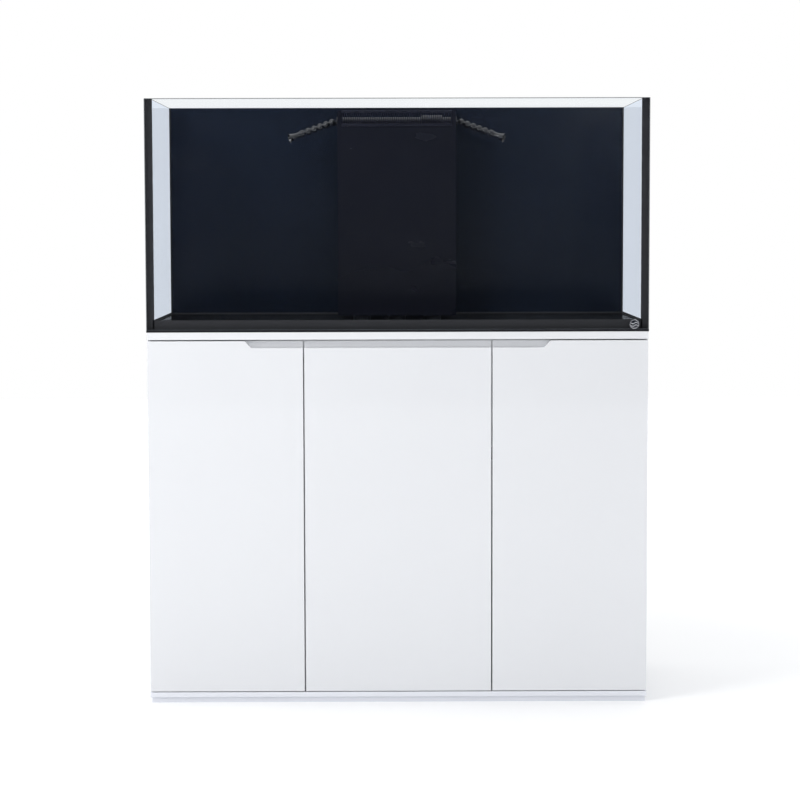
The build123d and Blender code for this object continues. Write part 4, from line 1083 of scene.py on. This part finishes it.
@dataclass
class Plumbing:
    """Pipes, bulkheads, strainers, manifold, union and the drain valve.

    Attributes:
        radius: Outer radius of a pipe.
        bore: Its inner radius.
        socket: Outer radius of a glued fitting.
        sleeve: Outer radius of the sleeves on the manifold, union and valve.
        play: Gap between a pipe and the fitting round it.
        bend: Radius of an elbow.
        crossover: Height of the return pipe's level run.
    """

    radius: float = 16 * MM
    bore: float = 13.5 * MM
    socket: float = 20.5 * MM
    sleeve: float = 21 * MM
    play: float = 0.15 * MM
    bend: float = 30 * MM
    crossover: float = 0.56

    def build(self) -> None:
        """Make every fitting from the tank down to the sump."""
        self.drains()
        self.return_line()
        self.bulkheads()
        self.strainers()
        self.manifold()
        self.union()
        self.valve()

    def run(self, foot: Array, head: Array) -> Array:
        """A straight pipe with chamfered ends, as a closed profile turned round its line."""
        length = float(np.linalg.norm(head - foot))
        chamfer = 1 * MM
        profile = np.array(
            [[self.bore, 0], [self.radius - chamfer, 0], [self.radius, chamfer],
             [self.radius, length - chamfer], [self.radius - chamfer, length], [self.bore, length]]
        )
        return lathe(foot, head - foot, profile, 48)

    def drains(self) -> None:
        """The valved drain in two lengths and the emergency drain beside it."""
        low, high = span("drain_pipes")
        valve_low, valve_high = span("drain_valve_body")
        strainer_low = span("pipe_strainers")[0]
        drain = np.array([low[0] + self.radius, low[1] + self.radius, low[2]])
        spare = np.array([high[0] - self.radius, low[1] + self.radius, low[2]])
        overlap = 14 * MM
        drain_head = strainer_low[2] + 14 * MM
        shape = Shape()
        stops = ((low[2], valve_low[2] + overlap), (valve_high[2] - overlap, drain_head))
        for bottom, top in stops:
            foot, head = drain.copy(), drain.copy()
            foot[2], head[2] = bottom, top
            shape.add(self.run(foot, head), wrap_rows=True)
        head = spare.copy()
        head[2] = high[2]
        shape.add(self.run(spare, head), wrap_rows=True)
        settle(shape.build("drain_lines", Look.PIPE), "cabinet", "grey_pipe", "drain_pipes")

    def return_line(self) -> None:
        """The return pipe round two elbows; its size swells to the fittings' over each elbow."""
        low, high = span("return_pipe")
        y = (low[1] + high[1]) / 2
        right, left = high[0] - self.radius, low[0] + self.radius
        corners = np.array(
            [[right, y, low[2]], [right, y, self.crossover], [left, y, self.crossover], [left, y, high[2]]]
        )
        line = soften(corners, self.bend, 12)
        stretch = [np.linspace(line[i], line[i + 1], 12, endpoint=False) for i in (0, 12, 24)]
        path = np.concatenate([stretch[0], line[1:12], stretch[1], line[13:24], stretch[2], line[-1:]])
        near = np.minimum(*(np.linalg.norm(path - corner, axis=1) for corner in corners[1:3]))
        swell = 1 + (self.socket / self.radius - 1) * (near < self.bend + 6 * MM)
        outer = carry(ring(self.radius, 40), path, (0, 1, 0), swell)
        inner = carry(ring(self.bore, 40), path, (0, 1, 0))
        shape = Shape().add(np.concatenate([outer, inner[::-1]]), wrap_rows=True)
        settle(shape.build("return_line", Look.PIPE), "cabinet", "grey_pipe", "return_pipe")

    def bulkheads(self) -> None:
        """Flanged bodies through the tank floor, and the six-sided nuts that clamp them."""
        low, high = span("bulkheads")
        nut_low, nut_high = span("bulkhead_nuts")
        radius = (high[1] - low[1]) / 2
        y = (low[1] + high[1]) / 2
        tall = high[2] - low[2]
        flange = 8 * MM
        body = 22 * MM
        hole = self.radius + self.play
        outline = np.array(
            [[hole, 0], [body, 0], [body, tall - flange], [radius, tall - flange], [radius, tall - 2 * MM],
             [radius - 4 * MM, tall], [hole, tall]]
        )
        bodies, nuts = Shape(), Shape()
        nut_tall = nut_high[2] - nut_low[2]
        nut_radius = 31 * MM
        nut = np.array(
            [[body, 0], [nut_radius * 0.94, 0], [nut_radius, 2 * MM], [nut_radius, nut_tall],
             [body, nut_tall]]
        )

        def hexagon(angle: Array, height: Array) -> Array:
            """Radius of a hexagon with softened corners, for every angle."""
            sixth = TURN / 6
            offset = np.mod(angle, sixth) - sixth / 2
            return np.minimum(math.cos(sixth / 2) / np.cos(offset), 0.985) + 0 * height

        outline = soften(outline, 1 * MM, 3, closed=True)
        for x in (low[0] + radius, 0.0, high[0] - radius):
            bodies.add(lathe((x, y, low[2]), (0, 0, 1), outline, 64), wrap_rows=True)
            turned = lathe((x, y, nut_low[2]), (0, 0, 1), nut, 72, hexagon)
            turned[[0, -1], :, :2] = lathe((x, y, nut_low[2]), (0, 0, 1), nut, 72)[[0, -1], :, :2]
            nuts.add(turned, wrap_rows=True)
        settle(bodies.build("bulkhead_bodies", Look.FITTING), "cabinet", "black_plastic", "bulkheads")
        piece = nuts.build("bulkhead_hex_nuts", Look.FITTING, sharp=25)
        settle(piece, "cabinet", "black_plastic", "bulkhead_nuts")

    def strainers(self) -> None:
        """Slotted caps: the radius dips eighteen times round the side wall."""
        low, high = span("pipe_strainers")
        radius = (high[1] - low[1]) / 2
        y = (low[1] + high[1]) / 2
        tall = 34 * MM
        outer = np.array([[radius, 0], [radius, tall - 4 * MM], [radius - 4 * MM, tall], [0, tall]])
        wall = self.radius + self.play
        inner = np.array([[0, tall - 3 * MM], [wall, tall - 3 * MM], [wall, 0]])
        steps = np.linspace(3 * MM, tall - 7 * MM, 24)
        side = np.stack([0 * steps + radius, steps], 1)
        profile = np.concatenate([outer[:1], side, soften(outer, 3 * MM, 4)[1:], inner])

        def slots(angle: Array, height: Array) -> Array:
            """Slots 1.6 mm deep, only between the skirt and the crown."""
            above_skirt = np.clip((height - 14 * MM) / (2 * MM), 0, 1)
            below_crown = np.clip((26 * MM - height) / (2 * MM), 0, 1)
            return 1 - 0.08 * above_skirt * below_crown * (np.cos(18 * angle) > 0.1)

        shape = Shape()
        for x, top in ((low[0] + radius, low[2] + tall), (high[0] - radius, high[2])):
            shape.add(lathe((x, y, top - tall), (0, 0, 1), profile, 144, slots), wrap_rows=True)
        settle(shape.build("slotted_strainers", Look.FITTING), "cabinet", "black_plastic", "pipe_strainers")

    def manifold(self) -> None:
        """The cross pipe behind the nozzles, its tee and the socket over the riser."""
        low, high = span("return_manifold")
        riser_low = span("return_pipe")[0]
        x = riser_low[0] + self.radius
        y = (low[1] + high[1]) / 2
        z = high[2] - 18 * MM
        length = high[0] - low[0]
        pipe, bore, tee = 13 * MM, 8.5 * MM, 18 * MM
        middle = x - low[0]
        outline = np.array(
            [[bore, 0], [pipe, 0], [pipe, middle - 27 * MM], [tee, middle - 26 * MM], [tee, middle + 26 * MM],
             [pipe, middle + 27 * MM], [pipe, length], [bore, length]]
        )
        outline = soften(outline, 1 * MM, 3, closed=True)
        shape = Shape().add(lathe((low[0], y, z), (1, 0, 0), outline, 48), wrap_rows=True)
        hole = self.radius + self.play
        drop = z - low[2]
        riser = np.array(
            [[hole, 20 * MM], [hole, 0], [self.sleeve, 0], [self.sleeve, drop * 0.62],
             [tee * 0.96, drop * 0.8], [tee * 0.9, drop], [0, drop], [0, 20 * MM]]
        )
        shape.add(lathe((x, y, low[2]), (0, 0, 1), soften(riser, 1 * MM, 3), 48), wrap_rows=True)
        settle(shape.build("cross_manifold", Look.MANIFOLD), "cabinet", "grey_pipe", "return_manifold")

    def union(self) -> None:
        """A pipe union: two sockets under a ring nut with eight lobes."""
        low, high = span("return_union")
        centre = (low + high) / 2
        tall = high[2] - low[2]
        nut = (high[0] - low[0]) / 2
        hole = self.radius + self.play
        rows = np.array(
            [[hole, 0], [self.sleeve, 0], [self.sleeve, 0.24 * tall], [nut, 0.26 * tall],
             [nut, 0.7 * tall], [self.sleeve, 0.73 * tall], [self.sleeve, tall], [hole, tall]]
        )

        def lobes(angle: Array, height: Array) -> Array:
            """Eight shallow lobes on the nut."""
            on_nut = (height > 0.25 * tall) & (height < 0.72 * tall)
            return 1 - on_nut * 0.07 * (0.5 - 0.5 * np.cos(8 * angle))

        grid = lathe((centre[0], centre[1], low[2]), (0, 0, 1), soften(rows, 1.2 * MM, 4), 96, lobes)
        piece = Shape().add(grid, wrap_rows=True).build("pipe_union", Look.FITTING)
        settle(piece, "cabinet", "grey_pipe", "return_union")

    def valve(self) -> None:
        """The drain's ball valve: bellied body with end collars, ball with stem, ribbed lever."""
        low, high = span("drain_valve_body")
        handle_low, handle_high = span("drain_valve_handle")
        x = (low[0] + high[0]) / 2
        belly = (high[0] - low[0]) / 2
        y = high[1] - belly
        z = (low[2] + high[2]) / 2
        half = (high[2] - low[2]) / 2
        collar = self.sleeve
        t = np.linspace(-0.62, 0.62, 14)
        bulge = np.stack([belly * np.cos(t), belly * np.sin(t)], 1)
        ends = np.array(
            [[self.radius, -half], [collar, -half], [collar, -half + 16 * MM],
             [collar - 2 * MM, -half + 18 * MM]]
        )
        profile = np.concatenate([ends, bulge, ends[::-1] * [1, -1]])

        def ribs(angle: Array, height: Array) -> Array:
            """Twenty grip ribs on the end collars."""
            at_end = np.abs(height) > half - 15 * MM
            return 1 - at_end * 0.035 * (0.5 + 0.5 * np.cos(20 * angle))

        shape = Shape().add(lathe((x, y, z), (0, 0, 1), profile, 120, ribs))
        boss = soften(np.array([[6.2, 20], [11, 20], [11, 34], [9.5, 36], [6.2, 36]]) * MM, 1 * MM, 3)
        shape.add(lathe((x, y, z), (0, -1, 0), boss, 48), wrap_rows=True)
        settle(shape.build("valve_shell", Look.PIPE), "cabinet", "grey_pipe", "drain_valve_body")
        dress(Look.WHITE_PLASTIC, "drain_valve_ball")

        tall = (handle_high[2] - handle_low[2]) / 2
        thick = handle_high[1] - handle_low[1]
        s = np.linspace(-1, 1, 61)
        middle_y = (handle_low[1] + handle_high[1]) / 2
        path = np.stack([0 * s + x, 0 * s + middle_y, z + s * (tall - 0.3 * MM)], 1)
        hub = 4.6 * MM * np.exp(-((s / 0.22) ** 2))
        width = 8.2 * MM + hub + 0.5 * MM * np.cos(s * 60) * (np.abs(s) > 0.4)
        width *= np.sqrt(np.clip(1 - np.abs(s) ** 14, 0.01, 1))
        section = soften(np.array([[-0.5, -1], [0.5, -1], [0.5, 1], [-0.5, 1]]), 0.3, 4, closed=True)
        grid = np.empty((len(s), len(section), 3))
        grid[..., 0] = path[:, :1] + width[:, None] * section[None, :, 1]
        grid[..., 1] = path[:, 1:2] + thick * section[None, :, 0]
        grid[..., 2] = path[:, 2:]
        piece = Shape().add(grid).build("ribbed_lever", Look.LEVER)
        settle(piece, "drain_valve_lever", "red_lever", "drain_valve_handle")


# ---- sump -----------------------------------------------------------------------------------


@dataclass
class Sump:
    """The glass sump with its tray, filter sock and return pump.

    Attributes:
        folds: Soft folds round the felt bag.
        fold_depth: How far a fold stands in.
        bag_taper: How much smaller the bag's radius is at its toe than at its mouth.
    """

    folds: int = 7
    fold_depth: float = 1.6 * MM
    bag_taper: float = 8 * MM

    def build(self) -> None:
        """Dress the panes and make the sock and the pump."""
        dress(Look.SUMP_PANE, "sump_base_pane", "sump_long_panes", "sump_end_panes", "sump_baffles")
        dress(Look.WHITE_PLASTIC, "sock_tray")
        self.collar()
        self.bag()
        self.pump()

    def collar(self) -> None:
        """The sock's moulded collar with a stepped rim, and the bail: a half circle of round bar."""
        low, high = span("sock_collar")
        x, y = (low[0] + high[0]) / 2, (low[1] + high[1]) / 2
        outer = (high[1] - low[1]) / 2
        inner = 48 * MM
        tall = 6 * MM
        rim = np.array([[inner, 0], [outer, 0], [outer, tall * 0.5], [outer - 3 * MM, tall * 0.6],
                        [outer - 4 * MM, tall], [inner + 1 * MM, tall], [inner, tall * 0.8]])
        rim = soften(rim, 0.8 * MM, 3, closed=True)
        shape = Shape().add(lathe((x, y, low[2]), (0, 0, 1), rim, 96), wrap_rows=True)
        t = np.linspace(0, math.pi, 64)
        arch = high[2] - 3 * MM - (low[2] + tall - 1 * MM)
        path = np.stack([x + arch * np.cos(t), 0 * t + y, low[2] + tall - 1 * MM + arch * np.sin(t)], 1)
        shape.add(carry(ring(3 * MM, 20), path, (0, 1, 0)))
        piece = shape.build("sock_ring_and_bail", Look.WHITE_PLASTIC)
        settle(piece, "filter_sock", "white_plastic", "sock_collar")

    def bag(self) -> None:
        """The felt bag: radius = taper less folds that deepen downwards, with a round toe and a wall."""
        low, high = span("filter_sock")
        x, y = (low[0] + high[0]) / 2, (low[1] + high[1]) / 2
        mouth = (high[0] - low[0]) / 2 - 0.3 * MM
        tall = high[2] - low[2]
        drop = np.linspace(0, 1, 60)
        toe = np.sqrt(np.clip(1 - np.clip((drop - 0.9) / 0.1, 0, 1) ** 2, 0, 1))
        radius = (mouth - self.bag_taper * drop) * toe
        profile = np.stack([radius, tall * (1 - drop)], 1)

        def crumple(angle: Array, height: Array) -> Array:
            """Folds that fade towards the stiff collar."""
            depth = self.fold_depth * np.clip(1 - height / tall, 0, 1) ** 0.7 / mouth
            wave = np.cos(self.folds * angle + 3 * np.sin(height * 22))
            wave = wave + 0.5 * np.cos(3 * angle - height * 31)
            return 1 - depth * (1.5 + wave) / 1.5

        outer = lathe((x, y, low[2]), (0, 0, 1), profile, 128, crumple)
        centre = np.array([x, y, 0.0])
        inner = outer.copy()
        wall = 2 * MM
        away = outer - centre
        away[..., 2] = 0
        length = np.maximum(np.linalg.norm(away, axis=-1, keepdims=True), 1e-9)
        inner -= away / length * np.minimum(wall, length)
        inner[..., 2] = np.maximum(inner[..., 2], low[2] + wall)
        hem = np.stack([outer[0], inner[0]])
        shape = Shape().add(outer).add(inner[::-1]).add(hem)
        piece = shape.build("felt_bag", Look.FELT, sharp=80)
        settle(piece, "filter_sock", "felt", "filter_sock")
        length = tall + mouth - self.bag_taper

    def pump(self) -> None:
        """Finned motor, spiral volute with its outlet, caged intake and rubber feet."""
        low, high = span("pump_motor")
        centre = (low + high) / 2
        radius, length = (high[1] - low[1]) / 2, high[0] - low[0]
        steps = np.linspace(0, 1, 90)
        fins = radius - 1.6 * MM * ((np.cos(steps * TURN * 11) > 0) & (steps > 0.1) & (steps < 0.8))
        nose = np.sqrt(np.clip(1 - np.clip((steps - 0.88) / 0.12, 0, 1) ** 2, 0, 1))
        profile = np.stack([fins * (0.35 + 0.65 * nose), steps * length], 1)
        motor = Shape().add(lathe((high[0], centre[1], centre[2]), (-1, 0, 0), profile, 72))
        settle(motor.build("finned_motor", Look.PUMP, sharp=30), "cabinet", "pump_blue", "pump_motor")

        low, high = span("pump_volute")
        radius = (high[1] - low[1]) / 2
        centre_z = low[2] + radius
        x, y = (low[0] + high[0]) / 2, (low[1] + high[1]) / 2
        half = (high[0] - low[0]) / 2
        rim = soften(np.array([[0, -half], [radius, -half], [radius, half], [0, half]]), 9 * MM, 8)

        def spiral(angle: Array, height: Array) -> Array:
            """The casing grows steadily round the impeller."""
            return 0.9 + 0.1 * np.mod(angle / TURN + 0.25, 1) + 0 * height

        shape = Shape().add(lathe((x, y, centre_z), (1, 0, 0), rim, 96, spiral))
        neck = np.array(
            [[16.2, 0], [20, 0], [20, -10], [23, -12], [23, -16], [20, -18], [20, -34], [16.2, -34]]
        ) * MM
        shape.add(lathe((x, y, high[2]), (0, 0, 1), soften(neck, 1 * MM, 3), 48), wrap_rows=True)
        settle(shape.build("spiral_volute", Look.PUMP, sharp=35), "cabinet", "pump_blue", "pump_volute")

        low, high = span("pump_intake")
        centre = (low + high) / 2
        radius, depth = (high[1] - low[1]) / 2, high[0] - low[0]
        t = np.linspace(0, 1, 40)
        profile = np.stack([radius * np.sqrt(np.clip(1 - t**6, 0, 1)), t * depth], 1)

        def cage(angle: Array, height: Array) -> Array:
            """Twenty bars with gaps between them."""
            gap = (np.cos(20 * angle) > 0.2) & (height > 3 * MM) & (height < depth - 5 * MM)
            return 1 - 0.14 * gap

        grid = lathe((low[0], centre[1], centre[2]), (1, 0, 0), profile, 160, cage)
        piece = Shape().add(grid).build("intake_cage", Look.FITTING, sharp=30)
        settle(piece, "cabinet", "black_plastic", "pump_intake")
        dress(Look.RUBBER, "pump_feet")


# ---- studio ---------------------------------------------------------------------------------


@dataclass
class Studio:
    """Floor, soft lights, pale surroundings and the camera.

    Attributes:
        eye: Where the camera stands.
        pitch: How far it looks down, in degrees.
        yaw: How far it looks to the right, in degrees.
        roll: How far it leans, in degrees.
        lens: Its focal length, in millimetres, on a 36 mm sensor.
    """

    eye: Colour = (-0.0174, -5.6778, 1.1656)
    pitch: float = 4.566
    yaw: float = 0.237
    roll: float = -0.144
    lens: float = 102.44

    def build(self) -> None:
        """Set up everything that isn't part of the object."""
        bpy.context.scene.view_settings.view_transform = "Standard"
        self.floor()
        self.world()
        self.light("key", (-1.8, -1.8, 2.4), 1.2, 33.5)
        self.light("fill", (3.6, -3.6, 2.4), 2.2, 16.0)
        self.light("glint", (1.75, -5.2, 2.15), 0.5, 9.0)
        self.light("top", (0.0, 0.6, 4.6), 4.0, 30.0)
        self.camera()

    def light(self, name: str, place: Colour, size: float, power: float) -> None:
        """A square soft box that faces the middle of the aquarium."""
        lamp = bpy.data.lights.new(f"{name}_softbox", "AREA")
        lamp.size, lamp.energy = size, power
        holder = bpy.data.objects.new(f"{name}_softbox", lamp)
        holder.location = place
        low, high = (Vector(corner) for corner in CAD_BOX)
        holder.rotation_euler = ((low + high) / 2 - Vector(place)).to_track_quat("-Z", "Y").to_euler()
        bpy.context.scene.collection.objects.link(holder)

    def floor(self) -> None:
        """A wide pale slab of mottled paper that glows a little away from the aquarium."""
        material = bpy.data.materials.new("studio_paper")
        material.use_nodes = True
        shader = Shader(material.node_tree)
        cloud = shader.noise(1.5, 3.0)
        reach = shader.node("ShaderNodeVectorMath", {"operation": "LENGTH"}, {0: shader.spot()})
        glow = Value(shader, reach.outputs["Value"]).ramp(0.7, 3.2)
        surface = shader.node(
            "ShaderNodeBsdfPrincipled",
            None,
            {
                "Base Color": shader.blend(cloud, (0.90, 0.90, 0.905), (0.92, 0.92, 0.925)),
                "Roughness": 0.55,
                "Emission Color": shader.blend(glow, (0.1, 0.1, 0.1), (1.0, 1.0, 1.0)),
                "Emission Strength": 0.35,
            },
        )
        shader.node("ShaderNodeOutputMaterial", None, {"Surface": surface.outputs[0]})
        floor = Shape().add(slab((-9.0, -9.0, -0.03), (9.0, 9.0, 0.0), 0.01)).build("studio_floor")
        floor.data.materials.append(material)

    def world(self) -> None:
        """White surroundings that fall off to near black on the viewer's side, which keeps glass clear."""
        scene = bpy.context.scene
        scene.world = bpy.data.worlds.new("studio_air")
        scene.world.use_nodes = True
        shader = Shader(scene.world.node_tree)
        aim = shader.node("ShaderNodeTexCoord").outputs["Generated"]
        split = shader.node("ShaderNodeSeparateXYZ", None, {0: aim})
        front = Value(shader, split.outputs["Y"]) * -1.0
        low = 1.0 - Value(shader, split.outputs["Z"]).ramp(0.25, 0.75)
        dark = front.ramp(0.15, 0.8) * low
        air = shader.node(
            "ShaderNodeBackground", None, {"Color": (0.98, 0.99, 1.0), "Strength": 1.0 - dark * 0.985}
        )
        white = shader.node("ShaderNodeBackground", None, {"Color": (1.0, 1.0, 1.0), "Strength": 1.0})
        seen = shader.node("ShaderNodeLightPath").outputs["Is Camera Ray"]
        mixed = shader.node("ShaderNodeMixShader", None, {0: seen, 1: air.outputs[0], 2: white.outputs[0]})
        shader.node("ShaderNodeOutputWorld", None, {"Surface": mixed.outputs[0]})

    def camera(self) -> None:
        """A long lens a little above the tank's floor, looking slightly down."""
        pitch, yaw, roll = (math.radians(a) for a in (self.pitch, self.yaw, self.roll))
        ahead = Vector((math.sin(yaw) * math.cos(pitch), math.cos(yaw) * math.cos(pitch), -math.sin(pitch)))
        level = Vector((math.cos(yaw), -math.sin(yaw), 0.0))
        top = level.cross(ahead)
        right = math.cos(roll) * level + math.sin(roll) * top
        up = -math.sin(roll) * level + math.cos(roll) * top
        eye = bpy.data.objects.new("studio_camera", bpy.data.cameras.new("studio_camera"))
        eye.data.lens, eye.data.sensor_width = self.lens, 36.0
        turn = Matrix((right, up, -ahead)).transposed().to_4x4()
        eye.matrix_world = Matrix.Translation(Vector(self.eye)) @ turn
        bpy.context.scene.collection.objects.link(eye)
        bpy.context.scene.camera = eye


def main() -> None:
    """Build every sub-assembly in order."""
    Cabinet().build()
    for name in ("left_door", "centre_door", "right_door"):
        Door(name).build()
    dress(Look.NICKEL, "hinge_arms")
    Tank().build()
    Weir().build()
    Collars().build()
    for side in ("left", "right"):
        Nozzle(side).build()
    Plumbing().build()
    Sump().build()
    Studio().build()


if __name__ == "__main__":
    main()
